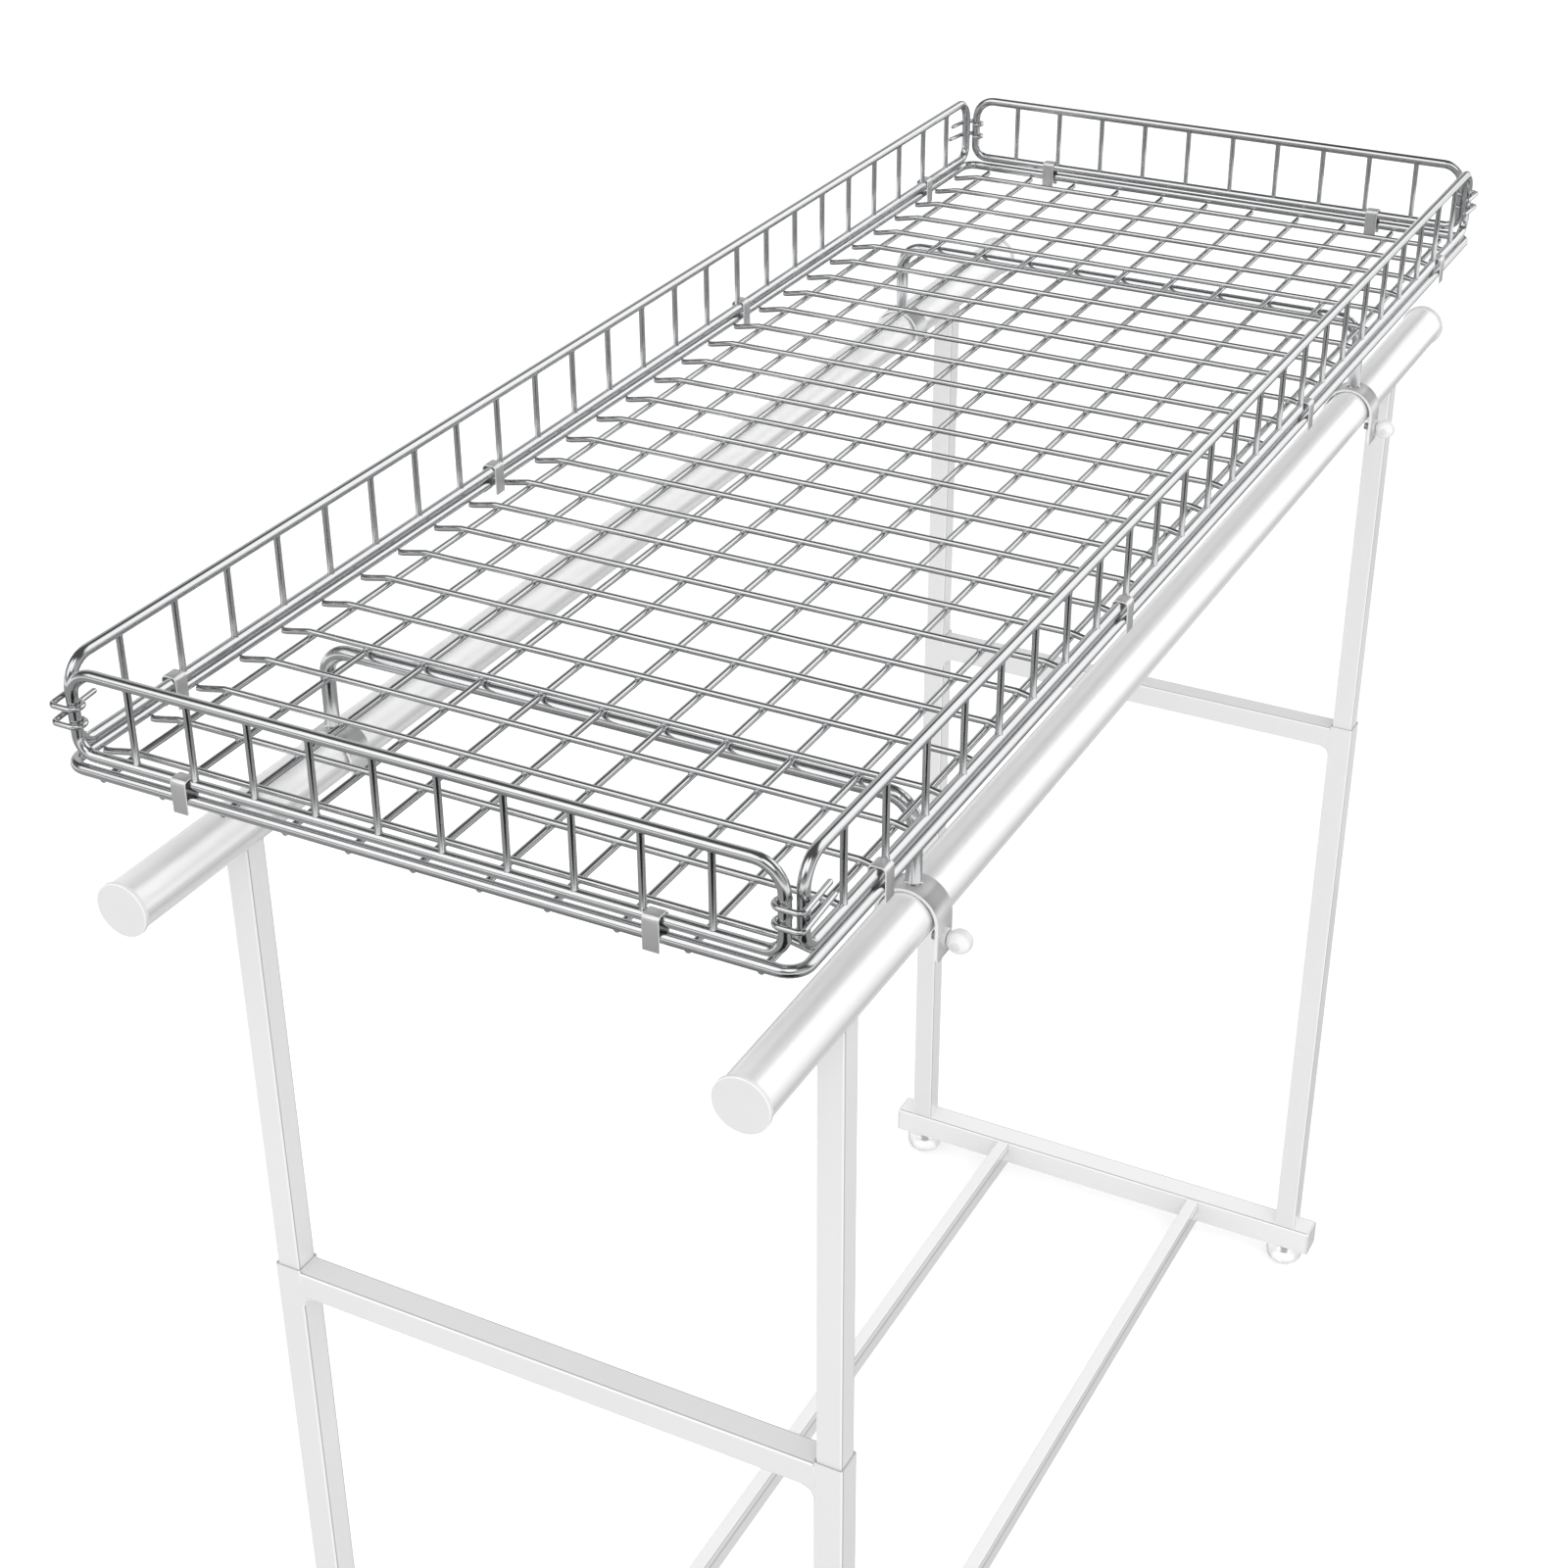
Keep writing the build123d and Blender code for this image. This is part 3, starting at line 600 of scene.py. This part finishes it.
# Each stripe is a shallow groove in the bump and painted shade in the colour.
for upper, lower, depth in SIDE_STRIPES:
    groove_and_shade = depth * below_top.band(
        upper - STRIPE_SOFTNESS,
        upper + STRIPE_SOFTNESS,
        lower - STRIPE_SOFTNESS,
        lower + STRIPE_SOFTNESS,
    )
    grooves_and_shade = grooves_and_shade.most(groove_and_shade) if grooves_and_shade else groove_and_shade
grooves_and_shade = grooves_and_shade * ribbed.squareness(0).ramp(0.3, 0.6)
film = ribbed.noise(scale=9.0, detail=3.0)
ribbed_white = ribbed.finish(
    ribbed.node(
        "ShaderNodeBsdfPrincipled",
        {},
        {
            "Base Color": ribbed.blend(
                grooves_and_shade, ribbed.blend(film, FILM_DEEP, FILM_PALE), PAINTED_GROOVE_SHADE
            ),
            "Roughness": 0.30 + film * 0.10,
            "Normal": ribbed.bumps(1.0 - grooves_and_shade, STRIPE_DEPTH, 0.6),
            "Coat Weight": 0.4,
            "Coat Roughness": 0.1,
        },
    )
)
paint([f"stretcher_{side}" for side, _ in SIDES], ribbed_white)

# Stretcher bolts and inserts: button-head bolts go through the base bars into tapped inserts
# in the stretchers' ends. Both are bright zinc-plated steel, as the foot studs are.
paint(["stretcher_inserts", "stretcher_bolts"], bright_zinc)

# Rails: round steel tubes in a silver-white pearl coat, drawn lengthwise, so that they
# reflect the room in long soft bands. Their sides, which face level, get a grey line of painted
# reflection.
PEARL_DEEP = (0.97, 0.97, 0.975, 1)
PAINTED_SIDE_REFLECTION = (0.5, 0.5, 0.505, 1)
PEARL_GRAIN = (300, 3, 300)
pearl = Shader(bpy.data.materials.new("silver pearl coat"))
drawn = pearl.noise(
    scale=1.0,
    detail=2.0,
    vector=pearl.node(
        "ShaderNodeVectorMath", {"operation": "MULTIPLY"}, {0: pearl.place(), 1: PEARL_GRAIN}
    ),
)
# Painted reflection: a grey line along the sides that face level.
painted_side_line = 1.0 - pearl.squareness(2).ramp(0.05, 0.24)
silver_pearl = pearl.finish(
    pearl.node(
        "ShaderNodeBsdfPrincipled",
        {},
        {
            "Base Color": pearl.blend(
                painted_side_line * 0.4, pearl.blend(drawn, PEARL_DEEP, PURE_WHITE), PAINTED_SIDE_REFLECTION
            ),
            "Metallic": 0.34,
            "Roughness": 0.26 + drawn * 0.06,
            "IOR": 1.15,
        },
    )
)
paint([f"rail_{side}" for side, _ in SIDES], silver_pearl)

# Rail stubs and end caps: square plated stubs under the rails drop into the upper posts, and
# pale plastic caps with a raised lip are pushed into the rails' ends.
paint(["rail_stubs"], bright_zinc)
paint([f"rail_end_caps_{side}" for side, _ in SIDES], pale_moulding)

# Saddles: steel strips bent over the rails, with a long outer leg for the screw and rounded
# corners. They are satin zinc plated, with a painted highlight on their sheared edges and painted
# shade over their shoulders.
RAIL_X = 0.199
SADDLE_Y = 0.413
SADDLE_SHEET = 0.002
SADDLE_WIDTH = 0.020
SADDLE_MIDDLE_RADIUS = 0.019
SADDLE_AXIS = 0.9493
SADDLE_OUTER_END = 0.925
SADDLE_INNER_END = 0.941
SADDLE_CORNER = 0.0035
SADDLE_STEPS = 28
CORNER_STEPS = 5
SHEARED_EDGE = 0.0003
SADDLE_SHADE = (0.72, 0.72, 0.725)
SCUFF_GAIN = 1.12
SCUFF_DEPTH = 0.00003
PAINTED_SHOULDER_GREY = (0.16, 0.16, 0.165, 1)


def turn_on(angle, steps, centre, axis):
    """Spins the selected ring on round an axis, counted as a right-handed screw turns."""
    bpy.ops.mesh.spin(steps=steps, angle=-angle, center=centre, axis=axis)


def start_strip(name, sheet, width, spot, along):
    """The cut end of a strip, level and ready to be drawn up. Its width lies along X or Y."""
    bpy.ops.object.select_all(action="DESELECT")
    bpy.ops.mesh.primitive_plane_add(size=1.0, location=spot)
    piece = bpy.context.object
    piece.name = name
    piece.scale = (width, sheet, 1) if along == "X" else (sheet, width, 1)
    bpy.ops.object.transform_apply(location=True, rotation=True, scale=True)
    bpy.ops.object.mode_set(mode="EDIT")
    bpy.ops.mesh.select_all(action="SELECT")
    bpy.ops.mesh.delete(type="ONLY_FACE")
    bpy.ops.mesh.select_all(action="SELECT")
    return piece


def round_corners(spot, heading, opening):
    """Draws a saddle's end on over its rounded corners, which open or close its width."""
    turns = [step / CORNER_STEPS * math.pi / 2 for step in range(CORNER_STEPS + 1)]
    rows = [
        (SADDLE_CORNER * math.sin(turn), SADDLE_WIDTH - 2 * SADDLE_CORNER * (1 - math.cos(turn)))
        for turn in turns
    ]
    if opening:
        rows = [(SADDLE_CORNER - reach, across) for reach, across in reversed(rows)]
    for (reach, across), (next_reach, next_across) in zip(rows, rows[1:]):
        draw(heading * (next_reach - reach))
        bpy.ops.transform.resize(
            value=(1, next_across / across, 1), center_override=spot + heading * next_reach
        )


def plated_strip(name, edge_axis, shade, roughness, metallic, folded):
    """Satin plated strip with a painted highlight on its sheared edges, which face along one axis.

    A folded strip has it along its folds too. A rolled one has painted shade over its shoulders.
    """
    strip = Shader(bpy.data.materials.new(name))
    upright = strip.squareness(2)
    # Painted highlight: sheared edges, and the folds of a folded strip, are blended towards white.
    bright = strip.squareness(edge_axis).ramp(0.15, 0.55)
    scuffs = strip.noise(scale=140.0, detail=4.0)
    satin = strip.blend(scuffs, (*shade, 1), (*[part * SCUFF_GAIN for part in shade], 1))
    if folded:
        fold = strip.squareness(1 - edge_axis) * upright
        bright = bright.most(fold.ramp(0.36, 0.46) * 0.8)
    else:
        # Painted shade over a rolled strip's shoulders.
        painted_shoulder_shade = upright.band(0.30, 0.60, 0.80, 0.95)
        satin = strip.blend(painted_shoulder_shade * 0.7, satin, PAINTED_SHOULDER_GREY)
    return strip.finish(
        strip.node(
            "ShaderNodeBsdfPrincipled",
            {},
            {
                "Base Color": strip.blend(bright, satin, PURE_WHITE),
                "Metallic": metallic - bright * 0.6,
                "Roughness": roughness + scuffs * 0.10 + bright * 0.15,
                "Normal": strip.bumps(scuffs, SCUFF_DEPTH, 0.3),
            },
        )
    )


satin_saddle = plated_strip("satin saddle strip", 1, SADDLE_SHADE, 0.32, 0.5, folded=False)
rise = Vector((0, 0, 1))
end_width = SADDLE_WIDTH - 2 * SADDLE_CORNER
outer_leg = SADDLE_AXIS - SADDLE_OUTER_END - SADDLE_CORNER
inner_leg = SADDLE_AXIS - SADDLE_INNER_END - SADDLE_CORNER
for corner, right, back in CORNERS:
    centre = Vector((right * RAIL_X, back * SADDLE_Y, SADDLE_AXIS))
    outer = centre + Vector((right * SADDLE_MIDDLE_RADIUS, 0, SADDLE_OUTER_END - SADDLE_AXIS))
    inner = centre - Vector((right * SADDLE_MIDDLE_RADIUS, 0, 0))
    saddle = start_strip(f"saddle_strap_{corner}", SADDLE_SHEET, end_width, outer, "Y")
    round_corners(outer, rise, opening=True)
    draw(rise * outer_leg)
    turn_on(math.pi, SADDLE_STEPS, centre, (0, -right, 0))
    draw(-rise * inner_leg)
    round_corners(inner - rise * inner_leg, -rise, opening=False)
    close_piece(saddle, edge=SHEARED_EDGE)
    saddle.data.materials.append(satin_saddle)
    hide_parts(f"saddle_{corner}")
    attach(saddle, "basket")

# Screw bosses: turned collars welded on the saddles' long legs and tapped for the thumb
# screws. Their plating is paler than the strip's, with fine turning marks.
BOSS_RADIUS = 0.006
BOSS_BORE = 0.00305
BOSS_HEIGHT = 0.0022
BOSS_EDGE = 0.0004
BOSS_SIDES = 40
SCREW_HEIGHT = 0.9375
SADDLE_OUTER_RADIUS = 0.020
BOSS_RINGS = (
    (BOSS_HEIGHT, BOSS_BORE),
    (0.0, BOSS_BORE),
    (0.0, BOSS_RADIUS),
    (BOSS_HEIGHT - BOSS_EDGE, BOSS_RADIUS),
    (BOSS_HEIGHT, BOSS_RADIUS - BOSS_EDGE),
    (BOSS_HEIGHT, BOSS_BORE + BOSS_EDGE),
    (BOSS_HEIGHT, BOSS_BORE),
)
TURNED_DEEP = (0.78, 0.78, 0.775, 1)
TURNED_PALE = (0.86, 0.86, 0.855, 1)
bosses = []
for corner, right, back in CORNERS:
    seat = (right * (RAIL_X + SADDLE_OUTER_RADIUS), back * SADDLE_Y, SCREW_HEIGHT)
    boss = turned(f"boss_{corner}", BOSS_SIDES, seat, (right, 0, 0), BOSS_RINGS)
    bosses.append(close_piece(boss))
bosses = joined(bosses, "saddle_bosses")
turned_zinc = Shader(bpy.data.materials.new("turned zinc"))
swirl = turned_zinc.noise(scale=220.0, detail=2.0)
bosses.data.materials.append(
    turned_zinc.finish(
        turned_zinc.node(
            "ShaderNodeBsdfPrincipled",
            {},
            {
                "Base Color": turned_zinc.blend(swirl, TURNED_DEEP, TURNED_PALE),
                "Metallic": 0.35,
                "Roughness": 0.34 + swirl * 0.1,
            },
        )
    )
)
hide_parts("saddle_screw_bosses")
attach(bosses, "basket")

# Thumb screws: zinc-plated shanks with a rolled thread, and pale plastic balls moulded on
# their outer ends, each with a short collar and a small flat at its tip. Reaches are counted
# outward from the rail's axis.
SCREW_RADIUS = 0.003
SHANK_SIDES = 28
THREAD_START = 0.0126
THREAD_END = 0.0288
THREAD_PITCH = 0.0010
THREAD_DEPTH = 0.00045
THREAD_CREST = (0.42, 0.58)
THREAD_SMOOTHING = 20.0
KNOB_START = 0.0228
KNOB_COLLAR = 0.0044
KNOB_COLLAR_LENGTH = 0.0005
KNOB_RADIUS = 0.0075
KNOB_TIP = math.radians(6)
KNOB_ROWS = 22
KNOB_SIDES = 48
KNOB_SMOOTHING = 50.0
thread_rings = [(THREAD_START, SCREW_RADIUS - THREAD_DEPTH)]
for index in range(round((THREAD_END - THREAD_START) / THREAD_PITCH)):
    reach = THREAD_START + THREAD_PITCH * index
    for part in THREAD_CREST:
        thread_rings.append((reach + THREAD_PITCH * part, SCREW_RADIUS))
    thread_rings.append((reach + THREAD_PITCH, SCREW_RADIUS - THREAD_DEPTH))
knob_reach = math.sqrt(KNOB_RADIUS**2 - KNOB_COLLAR**2)
knob_middle = KNOB_START + KNOB_COLLAR_LENGTH + knob_reach
back_turn = math.atan2(KNOB_COLLAR, -knob_reach)
knob_rings = [(KNOB_START, SCREW_RADIUS), (KNOB_START, KNOB_COLLAR)]
for row in range(KNOB_ROWS + 1):
    turn = back_turn * (1 - row / KNOB_ROWS) + KNOB_TIP * row / KNOB_ROWS
    knob_rings.append(
        (knob_middle + KNOB_RADIUS * math.cos(turn), KNOB_RADIUS * math.sin(turn))
    )
for corner, right, back in CORNERS:
    centre = (right * RAIL_X, back * SADDLE_Y, SCREW_HEIGHT)
    shank = turned(f"thumb_screw_{corner}", SHANK_SIDES, centre, (right, 0, 0), thread_rings)
    close_piece(shank, THREAD_SMOOTHING)
    shank.data.materials.append(bright_zinc)
    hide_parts(f"screw_shank_{corner}")
    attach(shank, f"screw_{corner}")
    knob = turned(f"thumb_ball_{corner}", KNOB_SIDES, centre, (right, 0, 0), knob_rings)
    close_piece(knob, KNOB_SMOOTHING)
    knob.data.materials.append(pale_moulding)
    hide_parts(f"screw_knob_{corner}")
    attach(knob, f"screw_{corner}")

# Support rods: thick plated rods that cross under the basket's floor. Each is bent down at
# both ends and butt-welded on the saddles, with a small weld collar at each foot.
ROD_RADIUS = 0.0048
ROD_SIDES = 32
ROD_HEIGHT = 1.0232
ROD_BEND = 0.018
ROD_BEND_STEPS = 12
ROD_SINK = 0.0003
ROD_FOOT = SADDLE_AXIS + SADDLE_OUTER_RADIUS - ROD_SINK
COLLAR_HEIGHT = 0.0016
COLLAR_SWELL = 1.16
COLLAR_SHOULDER = 0.93
WIRE_DEEP = (0.56, 0.565, 0.575, 1)
WIRE_PALE = (0.64, 0.645, 0.65, 1)
SHORTEST_RUN = 0.000005


def draw_path(points, bends, steps):
    """Draws the ring along the runs of a path and spins it round each of its corners."""
    points = [Vector(point) for point in points]
    here = points[0]
    for before_point, corner_point, after_point, bend in zip(points, points[1:], points[2:], bends):
        before = (corner_point - before_point).normalized()
        after = (after_point - corner_point).normalized()
        angle = before.angle(after)
        tangent = bend * math.tan(angle / 2)
        bend_start = corner_point - before * tangent
        if (bend_start - here).length > SHORTEST_RUN:
            draw(bend_start - here)
        axis = before.cross(after).normalized()
        turn_on(angle, steps, bend_start + axis.cross(before) * bend, axis)
        here = corner_point + after * tangent
    if (points[-1] - here).length > SHORTEST_RUN:
        draw(points[-1] - here)


def draw_collar(rise, scales, foot):
    """Draws the rod on through the two halves of a weld collar, each with its own scale."""
    for scale in scales:
        draw((0, 0, rise / 2))
        bpy.ops.transform.resize(value=(scale, scale, 1), center_override=foot)


wire = Shader(bpy.data.materials.new("bright plated wire"))
cloudy = wire.noise(scale=30.0, detail=3.0)
plated = wire.finish(
    wire.node(
        "ShaderNodeBsdfPrincipled",
        {},
        {
            "Base Color": wire.blend(cloudy, WIRE_DEEP, WIRE_PALE),
            "Metallic": 1.0,
            "Roughness": 0.11 + cloudy * 0.09,
        },
    )
)
for end, back in ENDS:
    y = back * SADDLE_Y
    foot = (-RAIL_X, y, ROD_FOOT)
    rod = start_section(
        f"cross_rod_{end}", ROD_SIDES, ROD_RADIUS * COLLAR_SWELL, foot, (0, 0, 1)
    )
    draw_collar(COLLAR_HEIGHT, (COLLAR_SHOULDER, 1 / COLLAR_SWELL / COLLAR_SHOULDER), foot)
    draw_path(
        (
            (-RAIL_X, y, ROD_FOOT + COLLAR_HEIGHT),
            (-RAIL_X, y, ROD_HEIGHT),
            (RAIL_X, y, ROD_HEIGHT),
            (RAIL_X, y, ROD_FOOT + COLLAR_HEIGHT),
        ),
        (ROD_BEND, ROD_BEND),
        ROD_BEND_STEPS,
    )
    draw_collar(
        -COLLAR_HEIGHT, (COLLAR_SWELL * COLLAR_SHOULDER, 1 / COLLAR_SHOULDER), (RAIL_X, y, ROD_FOOT)
    )
    close_piece(rod)
    rod.data.materials.append(plated)
    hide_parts(f"support_rod_{end}")
    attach(rod, "basket")

# Basket floor: a closed rim wire with long wires spot-welded under it, and cross wires on
# those, whose ends dip to go under the rim too. A flat weld nugget shows at each crossing.
RIM_X = 0.2290
RIM_Y = 0.6114
RIM_HEIGHT = 1.0352
RIM_CORNER = 0.012
FRAME_WIRE = 0.0035
GRID_WIRE = 0.00205
FRAME_WIRE_SIDES = 28
GRID_WIRE_SIDES = 16
WIRE_BEND_STEPS = 8
WIRE_END_EDGE = 0.0004
LONG_COUNT = 11
LONG_PITCH = 0.0413
LONG_HEIGHT = 1.03005
LONG_REACH = 0.6098
CROSS_COUNT = 29
CROSS_PITCH = 0.0416
CROSS_HEIGHT = 1.03375
CROSS_REACH = 0.2276
DIP_END = 0.2250
DIP_START = 0.2070
DIP_BEND = 0.012
DIP_BEND_STEPS = 3
NUGGET_RINGS = ((-0.0009, 0.0012), (-0.0004, 0.0021), (0.0004, 0.0021), (0.0009, 0.0012))
NUGGET_SIDES = 8
NUGGET_SMOOTHING = 70.0


def repeat(piece, count, step):
    """Repeats a piece at even steps, with an array modifier that is then applied."""
    rows = piece.modifiers.new("rows", "ARRAY")
    rows.count = count
    rows.use_relative_offset = False
    rows.use_constant_offset = True
    rows.constant_offset_displace = step
    bpy.context.view_layer.objects.active = piece
    bpy.ops.object.modifier_apply(modifier="rows")


def wire_loop(name, loop_corners, bends, start):
    """A closed loop of frame wire that starts and ends in the middle of one run."""
    heading = (Vector(loop_corners[0]) - Vector(start)).normalized()
    loop = start_section(name, FRAME_WIRE_SIDES, FRAME_WIRE, start, heading)
    draw_path((start, *loop_corners, start), bends, WIRE_BEND_STEPS)
    return close_piece(loop)


rim = wire_loop(
    "rim_wire",
    (
        (RIM_X, -RIM_Y, RIM_HEIGHT),
        (RIM_X, RIM_Y, RIM_HEIGHT),
        (-RIM_X, RIM_Y, RIM_HEIGHT),
        (-RIM_X, -RIM_Y, RIM_HEIGHT),
    ),
    (RIM_CORNER,) * 4,
    (0.0, -RIM_Y, RIM_HEIGHT),
)
first_x = -(LONG_COUNT - 1) / 2 * LONG_PITCH
long_wire = start_section(
    "long_wires", GRID_WIRE_SIDES, GRID_WIRE, (first_x, -LONG_REACH, LONG_HEIGHT), (0, 1, 0)
)
draw((0, 2 * LONG_REACH, 0))
close_piece(long_wire, edge=WIRE_END_EDGE)
repeat(long_wire, LONG_COUNT, (LONG_PITCH, 0, 0))
first_y = -(CROSS_COUNT - 1) / 2 * CROSS_PITCH
cross_wire = start_section(
    "cross_wires", GRID_WIRE_SIDES, GRID_WIRE, (-CROSS_REACH, first_y, LONG_HEIGHT), (1, 0, 0)
)
draw_path(
    (
        (-CROSS_REACH, first_y, LONG_HEIGHT),
        (-DIP_END, first_y, LONG_HEIGHT),
        (-DIP_START, first_y, CROSS_HEIGHT),
        (DIP_START, first_y, CROSS_HEIGHT),
        (DIP_END, first_y, LONG_HEIGHT),
        (CROSS_REACH, first_y, LONG_HEIGHT),
    ),
    (DIP_BEND,) * 4,
    DIP_BEND_STEPS,
)
close_piece(cross_wire, edge=WIRE_END_EDGE)
repeat(cross_wire, CROSS_COUNT, (0, CROSS_PITCH, 0))
crossing = (first_x, first_y, (LONG_HEIGHT + CROSS_HEIGHT) / 2)
nugget = turned("weld_nuggets", NUGGET_SIDES, crossing, (0, 0, 1), NUGGET_RINGS)
close_piece(nugget, NUGGET_SMOOTHING)
repeat(nugget, LONG_COUNT, (LONG_PITCH, 0, 0))
repeat(nugget, CROSS_COUNT, (0, CROSS_PITCH, 0))
grid = joined([rim, long_wire, cross_wire, nugget], "floor_grid")
grid.data.materials.append(plated)
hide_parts("basket_floor_grid")
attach(grid, "basket")

# Basket panels: fences of a bent loop of frame wire with upright pickets, resistance-welded
# between its long runs, so that each end flares into a small weld neck. Each panel has its
# direction, the middle of its foot, its length, and its pickets' number and spacing.
PANEL_WIRE = 1.0440
PANEL_HEIGHT = 0.05149
PANEL_TOP_CORNER = 0.017
PANEL_BOTTOM_CORNER = 0.011
WELD_NECK = ((0.0022, 0.00235), (0.0035, 0.00228), (0.0042, GRID_WIRE))
PICKET_RINGS = WELD_NECK + tuple(
    (PANEL_HEIGHT - reach, radius) for reach, radius in reversed(WELD_NECK)
)
END_PANEL_Y = 0.6092
END_PANEL_LENGTH = 0.440
SIDE_PANEL_X = 0.2268
SIDE_PANEL_LENGTH = 1.205
PANELS = (
    ("front", Vector((1, 0, 0)), Vector((0, -END_PANEL_Y, 0)), END_PANEL_LENGTH, 10, 0.0400),
    ("back", Vector((1, 0, 0)), Vector((0, END_PANEL_Y, 0)), END_PANEL_LENGTH, 10, 0.0400),
    ("left", Vector((0, 1, 0)), Vector((-SIDE_PANEL_X, 0, 0)), SIDE_PANEL_LENGTH, 24, 0.0486),
    ("right", Vector((0, 1, 0)), Vector((SIDE_PANEL_X, 0, 0)), SIDE_PANEL_LENGTH, 24, 0.0486),
)
for place, run, middle, length, count, pitch in PANELS:
    low = middle + Vector((0, 0, PANEL_WIRE))
    top = low + Vector((0, 0, PANEL_HEIGHT))
    half = run * length / 2
    loop = wire_loop(
        f"loop_{place}",
        (low + half, top + half, top - half, low - half),
        (PANEL_BOTTOM_CORNER, PANEL_TOP_CORNER, PANEL_TOP_CORNER, PANEL_BOTTOM_CORNER),
        low,
    )
    first = low - run * (count - 1) / 2 * pitch
    picket = turned(f"pickets_{place}", GRID_WIRE_SIDES, first, (0, 0, 1), PICKET_RINGS)
    close_piece(picket)
    repeat(picket, count, run * pitch)
    panel = joined([loop, picket], f"wire_panel_{place}")
    panel.data.materials.append(plated)
    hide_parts(f"basket_panel_{place}")
    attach(panel, "basket")

# Corner hooks: thin plated wires, two at each corner, wrapped half round an end panel's upright
# and on round the corner along the side panel, with rounded ends. Each has a height over the
# panels' lower wire, the length of its tail, and the tail's rise.
HOOK_WIRE = 0.0017
HOOK_BEND = 0.003
HOOK_STUB = 0.0015
HOOK_ROUND = 0.0013
HOOKS = ((0.0186, 0.0364, 0.003), (0.0296, 0.0314, 0.002))
hook_offset = FRAME_WIRE + HOOK_WIRE
for end, back in ENDS:
    wires = []
    outer_y = back * (END_PANEL_Y + hook_offset)
    inner_y = back * (END_PANEL_Y - hook_offset)
    for side, right in SIDES:
        upright = right * END_PANEL_LENGTH / 2
        tail_x = right * (SIDE_PANEL_X + hook_offset)
        for height, tail, lift in HOOKS:
            z = PANEL_WIRE + height
            start = Vector((upright + right * HOOK_STUB, inner_y, z))
            hook = start_section(
                f"hook_{end}_{side}", GRID_WIRE_SIDES, HOOK_WIRE, start, (-right, 0, 0)
            )
            draw_path(
                (
                    start,
                    (upright - right * hook_offset, inner_y, z),
                    (upright - right * hook_offset, outer_y, z),
                    (tail_x, outer_y, z),
                    (tail_x, outer_y - back * tail, z + lift),
                ),
                (hook_offset, hook_offset, HOOK_BEND),
                WIRE_BEND_STEPS,
            )
            wires.append(close_piece(hook, edge=HOOK_ROUND))
    hooks = joined(wires, f"hook_wires_{end}")
    hooks.data.materials.append(plated)
    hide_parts(f"corner_hooks_{end}")
    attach(hooks, "basket")

# Panel clips: strips stamped and folded over a panel's lower wire and the rim wire, plated
# satin grey, with a painted highlight on their sheared edges and folds. Their legs hang a little
# below the rim.
CLIP_SHEET = 0.0009
CLIP_WIDTH = 0.010
CLIP_BEND = 0.0024
CLIP_BORE = 0.0092
CLIP_TOP = 1.0475
CLIP_BOTTOM = 1.0273
CLIP_EDGE = 0.0003
END_CLIPS_X = 0.14745
SIDE_CLIPS_Y = (0.51775, 0.17755)
CLIP_SHADE = (0.58, 0.58, 0.585)
clip_groups = []
for end, back in ENDS:
    spots = [right * END_CLIPS_X for _, right in SIDES]
    clip_groups.append((end, "X", back * END_PANEL_Y, back, spots))
for side, right in SIDES:
    spots = [back * y for y in SIDE_CLIPS_Y for _, back in ENDS]
    clip_groups.append((side, "Y", right * SIDE_PANEL_X, right, spots))
for group, along, wire_place, outward, spots in clip_groups:
    clips = []
    inner = wire_place - outward * (FRAME_WIRE + CLIP_SHEET / 2)
    outer = inner + outward * (CLIP_BORE + CLIP_SHEET)
    crown = CLIP_TOP + CLIP_SHEET / 2
    fold = ((inner, CLIP_BOTTOM), (inner, crown), (outer, crown), (outer, CLIP_BOTTOM))
    for spot in spots:
        path = [
            Vector((spot, across, z)) if along == "X" else Vector((across, spot, z))
            for across, z in fold
        ]
        clip = start_strip(f"clip_{group}", CLIP_SHEET, CLIP_WIDTH, path[0], along)
        draw_path(path, (CLIP_BEND + CLIP_SHEET / 2,) * 2, WIRE_BEND_STEPS)
        clips.append(close_piece(clip, edge=CLIP_EDGE))
    clips = joined(clips, f"folded_clips_{group}")
    edge_axis = "XY".index(along)
    clips.data.materials.append(
        plated_strip(f"folded strip {group}", edge_axis, CLIP_SHADE, 0.34, 0.7, folded=True)
    )
    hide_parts(f"panel_clips_{group}")
    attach(clips, "basket")
